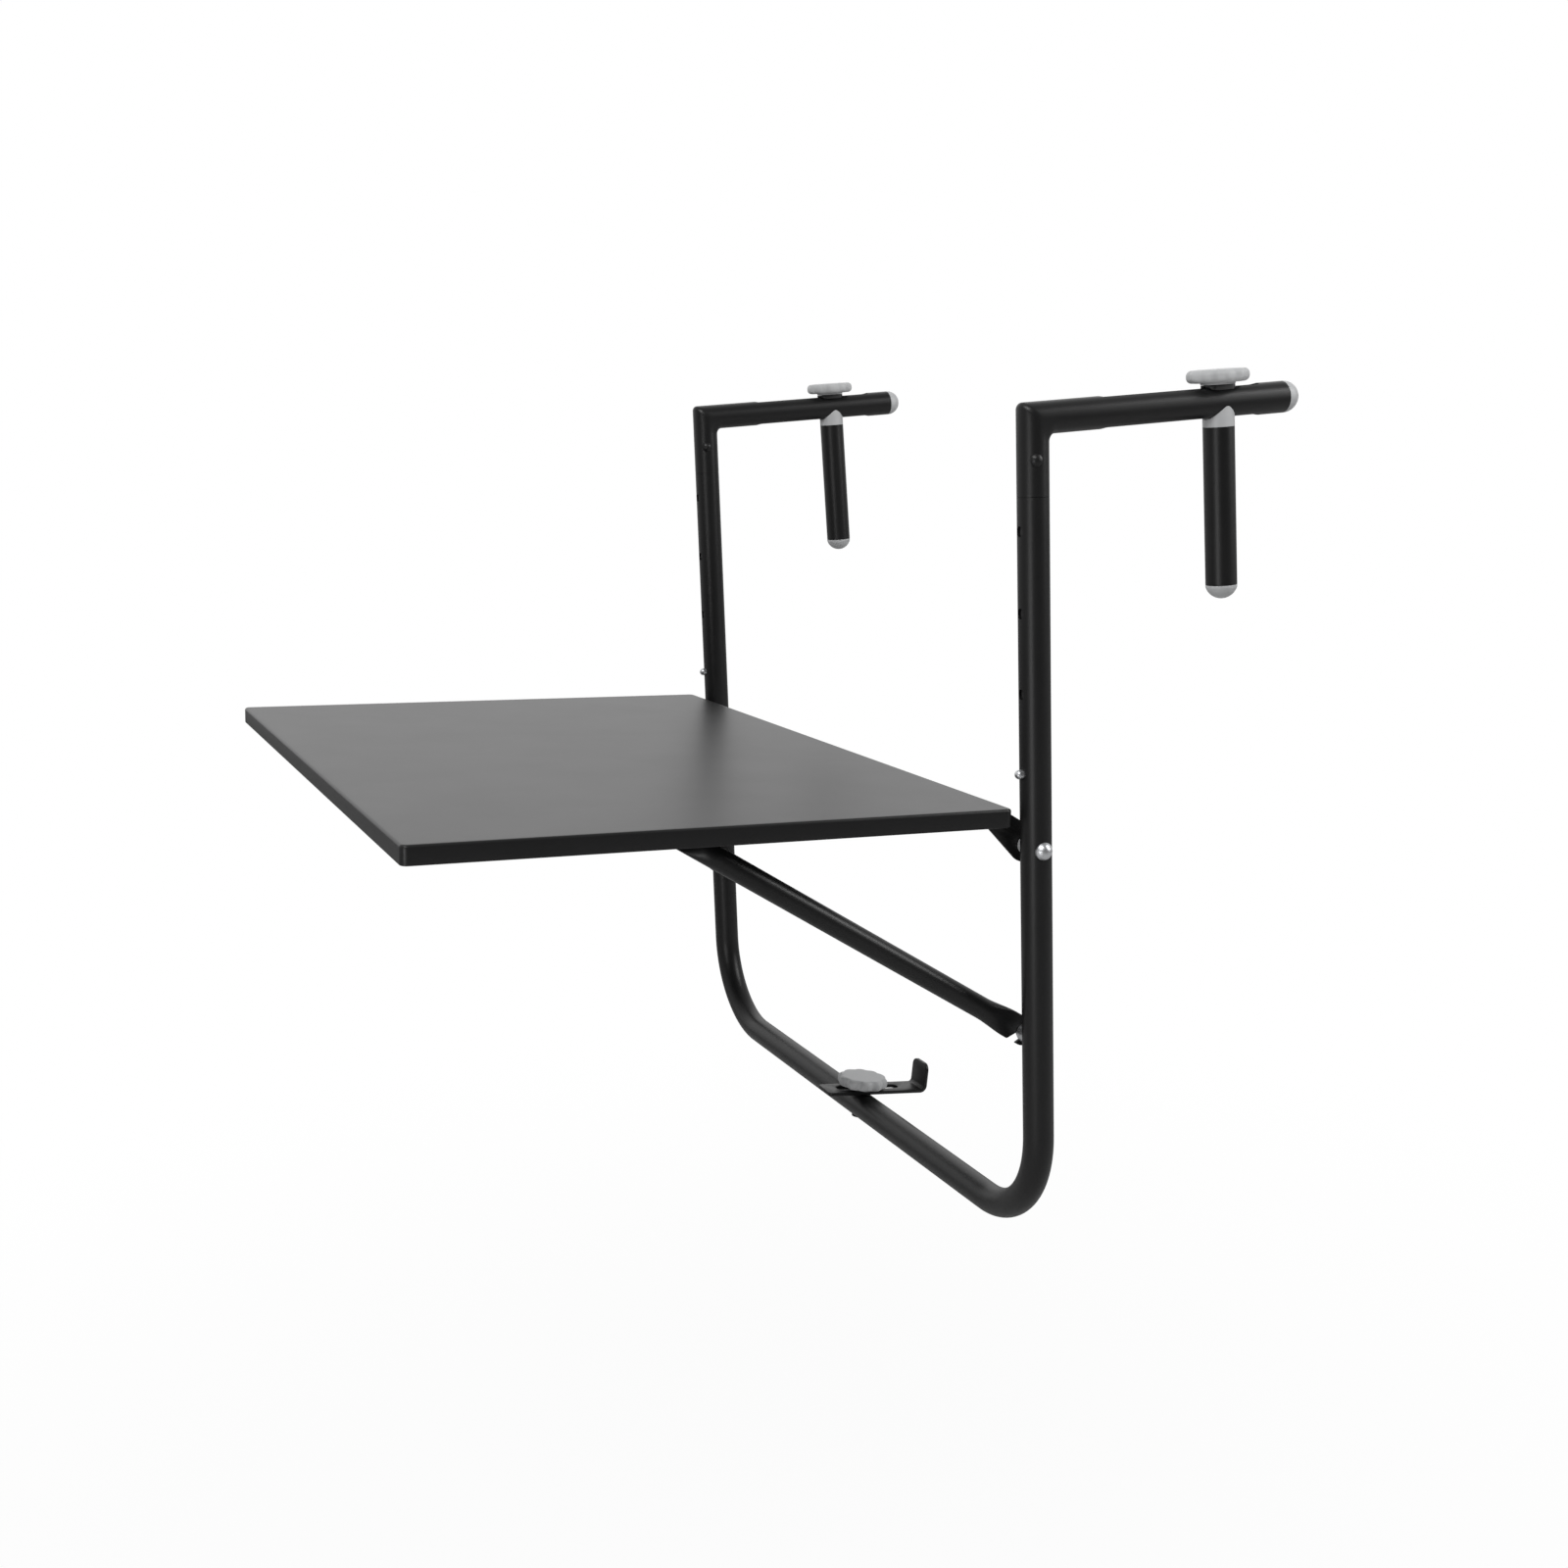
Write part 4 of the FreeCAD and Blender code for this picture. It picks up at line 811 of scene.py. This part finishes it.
class RAILINGTABLE_OT_frame(bpy.types.Operator):
    """Builds the U frame with its rows of height holes."""

    bl_idname = "railing_table.frame"
    bl_label = "Frame"

    def execute(self, context):
        s = sizes()
        top = corner_z() - s.arm_leg - s.frame_gap
        route = [(0, -s.half_spacing, top), (0, -s.half_spacing, bottom_z()),
                 (0, s.half_spacing, bottom_z()), (0, s.half_spacing, top)]
        bm = bmesh.new()
        verts = [bm.verts.new(place) for place in route]
        for a, b in zip(verts, verts[1:]):
            bm.edges.new((a, b))
        tube = linked("frame_bent_tube", mesh_from("route", bm))
        grown(tube, bent_tube_tree(), powder_coat(), **{
            "Bend Radius": s.frame_bend, "Bend Steps": s.bend_steps, "Outer Radius": s.tube_r,
            "Inner Radius": s.tube_r - s.tube_wall, "Sides": s.tube_sides,
        })
        bm = bmesh.new()
        bm.from_mesh(tube.data)
        for near_end in (True, False):
            rim = [e for e in bm.edges if e.is_boundary and (e.verts[0].co.y < 0) == near_end]
            bmesh.ops.bridge_loops(bm, edges=rim)
        bmesh.ops.recalc_face_normals(bm, faces=bm.faces)
        bm.to_mesh(tube.data)
        bm.free()
        rows = row_tree()
        for side in SIDES.values():
            cutter = linked("holes", bpy.data.meshes.new("holes"))
            grown(cutter, rows, powder_coat(), Count=s.hole_count, Pitch=s.hole_pitch, Radius=s.hole_r,
                  Depth=2 * s.tube_r)
            place = (-s.tube_r, side * s.half_spacing, corner_z() - s.lowest_hole)
            cutter.data.transform(Matrix.Translation(place))
            cut(tube, cutter)
        stand_in(shade(tube), "frame_tube")
        return {"FINISHED"}


def knob_mesh(name):
    """A lobed knob, its hub's lower face at the origin and its blind bore open below."""
    s = sizes()
    low, high, r, e = s.knob_hub, s.knob_hub + s.knob_thick, s.knob_r, s.knob_edge
    hub_edge, edge_steps, lobe_steps, face_shares = 0.0003, 10, 16, (0.25, 0.5, 0.7)
    profile = [(0, high)] + [(r * share, high) for share in face_shares]
    profile += [(r - e + x, high - e + z) for x, z in arc((0, 0), e, 90, 0, edge_steps)]
    profile += [(r - e + x, low + e + z) for x, z in arc((0, 0), e, 0, -90, edge_steps)]
    profile += [(s.knob_hub_r, low), (s.knob_hub_r, hub_edge), (s.knob_hub_r - hub_edge, 0),
                (s.insert_r, 0), (s.insert_r, s.insert_depth), (0, s.insert_depth)]
    return lathe(name, profile, lobe_steps * s.knob_lobes)


class RAILINGTABLE_OT_knobs(bpy.types.Operator):
    """Builds the two clamp knobs and the bumper knob."""

    bl_idname = "railing_table.knobs"
    bl_label = "Knobs"

    def execute(self, context):
        s = sizes()
        tree = lobe_tree()
        places = {}
        for name, side in SIDES.items():
            on_arm = arm_matrix(side, POST_PLACES[name])
            places["clamp_knob_" + name] = on_arm @ Matrix.Translation((0, 0, s.clamp_seat))
        places["bumper_knob"] = bumper_matrix() @ Matrix.Translation((0, 0, s.bumper_seat))
        for node, place in places.items():
            knob = linked(node + "_grip", knob_mesh(node))
            grown(knob, tree, grey_plastic(), **{
                "Count": s.knob_lobes, "Hollow": s.knob_hollow, "Start Radius": s.knob_hub_r,
                "Outer Radius": s.knob_r,
            })
            knob.data.transform(place)
            stand_in(shade(knob), node)
        return {"FINISHED"}


def leaf_ring(inset, z, steps):
    """The leaf's outline drawn in by inset, at height z, with round corners."""
    s = sizes()
    inner = -s.leaf_inner - inset
    outer = -s.leaf_inner - s.leaf_depth + inset
    half = s.leaf_width / 2 - inset
    least_r = 0.0008
    r = max(s.leaf_corner - inset, least_r)
    corners = [(inner - r, half - r), (outer + r, half - r), (outer + r, r - half), (inner - r, r - half)]
    ring = []
    for centre, start in zip(corners, (0, 90, 180, 270)):
        ring += [Vector((x, y, z)) for x, y in arc(centre, r, start, start + 90, steps)]
    return ring


class RAILINGTABLE_OT_leaf(bpy.types.Operator):
    """Builds the sheet leaf with its folded apron and lip."""

    bl_idname = "railing_table.leaf"
    bl_label = "Leaf"

    def execute(self, context):
        s = sizes()
        top, rim = s.leaf_top, s.leaf_top - s.leaf_apron
        t, e, lip = s.leaf_sheet, s.leaf_edge, s.leaf_sheet + s.leaf_lip
        fold, nick, bend, inner_fold = 0.0008, 0.0002, 0.0001, 0.0005
        edge_steps, fold_steps, corner_steps = 8, 4, 10
        outer_flat, inner_flat, under_flat = 0.012, 0.006, 0.02
        stations = [(outer_flat, top), (inner_flat, top)]
        stations += [(e - x, top - e + z) for x, z in arc((0, 0), e, 90, 0, edge_steps)]
        stations += [(fold - x, rim + fold + z) for x, z in arc((0, 0), fold, 0, -90, fold_steps)]
        stations += [(lip - nick, rim), (lip, rim + nick), (lip, rim + t - nick), (lip - nick, rim + t)]
        stations += [(t + bend, rim + t), (t, rim + t + bend)]
        stations += [(t, top - t - inner_fold), (t + inner_fold, top - t), (under_flat, top - t)]
        leaf = linked("leaf_sheet", closed_skin("leaf", [leaf_ring(*at, corner_steps) for at in stations]))
        past = 0.001
        depth, high = s.leaf_lip + 2 * t + 2 * past, s.leaf_apron - t + past
        notch_x = -s.leaf_inner - s.leaf_lip - t - past + depth / 2
        for side in SIDES.values():
            bm = bmesh.new()
            bmesh.ops.create_cube(bm, size=1.0)
            centre = Vector((notch_x, side * s.notch_y, rim - past + high / 2))
            bm.transform(Matrix.Translation(centre) @ Matrix.Diagonal((depth, s.notch_wide, high, 1)))
            cut(leaf, linked("notch", mesh_from("notch", bm)))
        leaf.data.transform(leaf_matrix())
        stand_in(shade(leaf), "leaf_panel")
        return {"FINISHED"}


SHEET_PARTS = {
    "bumper_strip": 0.0006,
    "stiffener_inner": 0.00025,
    "stiffener_outer": 0.00025,
    "stay_clip_near": 0.0003,
    "stay_clip_far": 0.0003,
    "hinge_bracket_near": 0.0005,
    "hinge_bracket_far": 0.0005,
    "clamp_collar_near": 0.0004,
    "clamp_collar_far": 0.0004,
}


class RAILINGTABLE_OT_sheet_parts(bpy.types.Operator):
    """Rounds the edges of the strip, stiffeners, clips, brackets and collars."""

    bl_idname = "railing_table.sheet_parts"
    bl_label = "Sheet parts"

    def execute(self, context):
        for node, width in SHEET_PARTS.items():
            stand_in(softened(node + "_formed", node, width), node)
        return {"FINISHED"}


def stay_matrix():
    """Places a drawing that has Z down the stay's arm and X on its lower side. Gives the stud's Z too."""
    s = sizes()
    bar = leaf_matrix() @ Vector((-s.stay_bar, 0, s.leaf_top - s.stay_under))
    stud = Vector((0, 0, pivot_z() - s.stay_drop))
    way = (stud - bar).normalized()
    side = Vector((way.z, 0, -way.x))
    return Matrix.Translation(bar) @ Matrix((side, Y_AXIS, way)).transposed().to_4x4(), (stud - bar).length


def stay_section(half_width, half_thick, centre_y, z, sides):
    """An outline about Z that goes from round to flat with rounded sides."""
    ring = []
    flat, spread = half_width - half_thick, 2.2
    for k in range(sides):
        angle = 2 * math.pi * (k + 0.5) / sides
        c = math.cos(angle)
        x = half_thick * c + math.copysign(flat, c) * min(1.0, abs(c) * spread)
        ring.append(Vector((x, centre_y + half_thick * math.sin(angle), z)))
    return ring


class RAILINGTABLE_OT_stay(bpy.types.Operator):
    """Builds the stay: a U of tube with flattened, notched ends."""

    bl_idname = "railing_table.stay"
    bl_label = "Stay"

    def execute(self, context):
        s = sizes()
        place, stud_at = stay_matrix()
        flat_from = stud_at - s.stay_flat
        taper_from = flat_from - s.stay_taper
        flat_y = s.stay_half + s.stay_r - s.stay_flat_thick / 2
        sides, tip_steps, taper_steps, seat_steps, through = 48, 12, 24, 32, 0.02
        rings = []
        tip, tip_flat = stud_at + s.stay_tip, 0.0005
        corner = s.stay_flat_width / 2 - tip_flat
        for k in range(tip_steps + 1):
            angle = math.pi / 2 * k / tip_steps
            rings.append((tip - corner + corner * math.cos(angle), tip_flat + corner * math.sin(angle),
                          s.stay_flat_thick / 2, flat_y))
        for k in range(taper_steps + 1):
            share = k / taper_steps
            z = flat_from + (taper_from - flat_from) * share
            ease = share * share * (3 - 2 * share)
            half_w = s.stay_flat_width / 2 * (1 - ease) + s.stay_r * ease
            half_t = s.stay_flat_thick / 2 * (1 - ease) + s.stay_r * ease
            rings.append((z, half_w, half_t, s.stay_half + s.stay_r - half_t))
        end = [stay_section(w, t, -y, z, sides) for z, w, t, y in rings]
        bend = []
        r = s.stay_bend
        for k in range(s.bend_steps + 1):
            angle = math.pi / 2 * k / s.bend_steps
            out = s.stay_half - r + r * math.cos(angle)
            down = r - r * math.sin(angle)
            middle = Vector((0, -out, down))
            lean = Matrix.Rotation(-angle, 3, "X")
            bend.append([lean @ v + middle for v in stay_section(s.stay_r, s.stay_r, 0, 0, sides)])
        half = end + bend
        other = [[Vector((v.x, -v.y, v.z)) for v in ring] for ring in reversed(half)]
        stay = linked("stay_bent_tube", closed_skin("stay", half + other))
        across_x, across_z = s.seat_r * math.sin(s.notch_turn), s.seat_r * math.cos(s.notch_turn)
        outline = [(across_x, stud_at + across_z), (-across_x, stud_at - across_z)]
        for way, open_by in ((-1, s.notch_turn + s.notch_flare), (1, s.notch_turn - s.notch_flare)):
            outline.append((way * across_x + s.stay_flat_width * math.cos(open_by),
                            stud_at + way * across_z - s.stay_flat_width * math.sin(open_by)))
        seat_profile = [(0, -through), (s.seat_r, -through), (s.seat_r, through), (0, through)]
        for side in SIDES.values():
            y = side * flat_y
            seat = lathe("seat", seat_profile, seat_steps)
            seat.transform(Matrix.Translation((0, y, stud_at)) @ Matrix.Rotation(math.pi / 2, 4, "X"))
            ends = [[Vector((x, y + off, z)) for x, z in outline] for off in (-through, through)]
            cut(stay, linked("seat", seat), linked("mouth", closed_skin("mouth", ends)))
        stay.data.transform(place)
        stand_in(shade(stay), "stay_tube")
        return {"FINISHED"}


class RAILINGTABLE_OT_carried(bpy.types.Operator):
    """Gives every node that is shown as it is its finish."""

    bl_idname = "railing_table.carried"
    bl_label = "Small metal parts"

    def execute(self, context):
        replaced = {"frame_tube", "leaf_panel", "stay_tube", "bumper_knob", *SHEET_PARTS}
        for piece in ("arm", "arm_cap", "clamp_post", "clamp_post_cap", "clamp_knob"):
            replaced |= {piece + "_" + name for name in SIDES}
        for node, piece in frame["nodes"].items():
            if node in replaced:
                continue
            material = FINISH_OF_SLOT[slot_of_node(node)]()
            for material_slot in piece.material_slots:
                material_slot.material = material
        return {"FINISHED"}


# Stage


CAMERA = {
    "place": (-0.67312, -1.40053, 0.03880),
    "yaw": 23.625,
    "pitch": -11.795,
    "roll": -2.053,
    "lens": 43.911,
    "sensor": 36.0,
}
FLOOR_Z, FLOOR_HALF, FLOOR_BACK = -1.04, 9.0, 3.0
UNDER_TABLE = (-0.1, 0.1, FLOOR_Z)
LAMPS = [
    # name, place, aim, size, power
    ("Key softbox", (-1.5, -1.6, 2.2), (-0.1, 0, -0.25), (1.6, 1.2), 64),
    ("Side softbox", (1.9, -1.3, 0.9), (0, 0, -0.3), (0.7, 1.6), 34),
    ("Low softbox", (-1.78, -1.52, -0.45), (0, -0.1, -0.2), (0.8, 0.8), 10),
    ("Back softbox", (0.4, 3.0, 1.3), (-0.1, 0, -0.2), (5.6, 2.4), 20),
]


def soft_background():
    """A world whose back half is bright and whose front is dim, and which the camera sees as white."""
    world = bpy.data.worlds.new("Studio")
    bpy.context.scene.world = world
    world.use_nodes = True
    tree = world.node_tree
    light = tree.nodes["Background"]
    light.inputs["Color"].default_value = (1, 1, 1, 1)
    view = tree.nodes.new("ShaderNodeTexCoord").outputs["Generated"]
    way = add_node(tree, "ShaderNodeSeparateXYZ", {0: view})
    level = add_node(tree, "ShaderNodeMapRange", {
        "Value": way.outputs["Y"], "From Min": -0.5, "From Max": 0.6, "To Min": 0.09, "To Max": 0.85,
    })
    tree.links.new(level.outputs[0], light.inputs["Strength"])
    white = add_node(tree, "ShaderNodeBackground", {"Color": (1, 1, 1, 1), "Strength": 1.0})
    path = tree.nodes.new("ShaderNodeLightPath")
    mix = add_node(tree, "ShaderNodeMixShader", {0: path.outputs["Is Camera Ray"]})
    tree.links.new(light.outputs[0], mix.inputs[1])
    tree.links.new(white.outputs[0], mix.inputs[2])
    tree.links.new(mix.outputs[0], tree.nodes["World Output"].inputs["Surface"])


def floor_material():
    """A pale floor that turns to plain white away from the table."""
    material = bpy.data.materials.new("Pale floor")
    material.use_nodes = True
    tree = material.node_tree
    tree.nodes.clear()
    matt = add_node(tree, "ShaderNodeBsdfDiffuse", {"Color": (*finishes().floor, 1)})
    white = add_node(tree, "ShaderNodeEmission", {"Color": (1, 1, 1, 1), "Strength": 1.0})
    place = tree.nodes.new("ShaderNodeTexCoord").outputs["Object"]
    distance = add_node(tree, "ShaderNodeVectorMath", {0: place, 1: UNDER_TABLE}, operation="DISTANCE")
    away = add_node(tree, "ShaderNodeMapRange", {
        "Value": distance.outputs["Value"], "From Min": 0.2, "From Max": 1.6, "To Min": 0.95, "To Max": 1.0,
    }, interpolation_type="SMOOTHSTEP")
    path = tree.nodes.new("ShaderNodeLightPath")
    seen = math_node(tree, "MULTIPLY", away.outputs[0], path.outputs["Is Camera Ray"])
    mix = add_node(tree, "ShaderNodeMixShader", {0: seen})
    tree.links.new(matt.outputs[0], mix.inputs[1])
    tree.links.new(white.outputs[0], mix.inputs[2])
    out = tree.nodes.new("ShaderNodeOutputMaterial")
    tree.links.new(mix.outputs[0], out.inputs["Surface"])
    return material


class RAILINGTABLE_OT_stage(bpy.types.Operator):
    """Sets the floor, the lamps, the background and the camera."""

    bl_idname = "railing_table.stage"
    bl_label = "Stage"

    def execute(self, context):
        scene = context.scene
        scene.view_settings.view_transform = "Standard"
        bm = bmesh.new()
        bmesh.ops.create_grid(bm, x_segments=1, y_segments=1, size=FLOOR_HALF)
        mesh = mesh_from("floor", bm)
        mesh.transform(Matrix.Translation((0, FLOOR_BACK, FLOOR_Z)))
        mesh.materials.append(floor_material())
        linked("floor", mesh)
        soft_background()
        for name, place, aim, size, power in LAMPS:
            lamp = bpy.data.lights.new(name, "AREA")
            lamp.shape = "RECTANGLE"
            lamp.size, lamp.size_y = size
            lamp.energy = power
            holder = bpy.data.objects.new(name, lamp)
            holder.visible_camera = False
            scene.collection.objects.link(holder)
            way = Vector(aim) - Vector(place)
            aimed = way.to_track_quat("-Z", "Y").to_matrix().to_4x4()
            holder.matrix_world = Matrix.Translation(place) @ aimed
        yaw, pitch, roll = (math.radians(CAMERA[key]) for key in ("yaw", "pitch", "roll"))
        level = math.cos(pitch)
        forward = Vector((math.sin(yaw) * level, math.cos(yaw) * level, math.sin(pitch)))
        flat_right = Vector((math.cos(yaw), -math.sin(yaw), 0))
        flat_up = flat_right.cross(forward)
        right = math.cos(roll) * flat_right + math.sin(roll) * flat_up
        up = math.cos(roll) * flat_up - math.sin(roll) * flat_right
        lens = bpy.data.cameras.new("Camera")
        lens.sensor_width = CAMERA["sensor"]
        lens.lens = CAMERA["lens"]
        camera = bpy.data.objects.new("Camera", lens)
        scene.collection.objects.link(camera)
        turned = Matrix((right, up, -forward)).transposed().to_4x4()
        camera.matrix_world = Matrix.Translation(CAMERA["place"]) @ turned
        scene.camera = camera
        return {"FINISHED"}


STEPS = ["arms", "caps", "posts", "frame", "knobs", "leaf", "sheet_parts", "stay", "carried", "stage"]


class RAILINGTABLE_PT_panel(bpy.types.Panel):
    """Lists the steps that build the table."""

    bl_idname = "RAILINGTABLE_PT_panel"
    bl_label = "Railing Table"
    bl_space_type = "VIEW_3D"
    bl_region_type = "UI"
    bl_category = "Railing Table"

    def draw(self, context):
        column = self.layout.column(align=True)
        for step in STEPS:
            column.operator("railing_table." + step)


CLASSES = [
    RailingTableSizes, RailingTableFinishes, RAILINGTABLE_OT_arms, RAILINGTABLE_OT_caps,
    RAILINGTABLE_OT_posts, RAILINGTABLE_OT_frame, RAILINGTABLE_OT_knobs, RAILINGTABLE_OT_leaf,
    RAILINGTABLE_OT_sheet_parts, RAILINGTABLE_OT_stay, RAILINGTABLE_OT_carried, RAILINGTABLE_OT_stage,
    RAILINGTABLE_PT_panel,
]


def register():
    for cls in CLASSES:
        bpy.utils.register_class(cls)
    bpy.types.Scene.railing_table_sizes = bpy.props.PointerProperty(type=RailingTableSizes)
    bpy.types.Scene.railing_table_finishes = bpy.props.PointerProperty(type=RailingTableFinishes)


def unregister():
    del bpy.types.Scene.railing_table_finishes
    del bpy.types.Scene.railing_table_sizes
    for cls in reversed(CLASSES):
        bpy.utils.unregister_class(cls)


def main():
    register()
    for step in STEPS:
        getattr(bpy.ops.railing_table, step)()


if __name__ == "__main__":
    main()
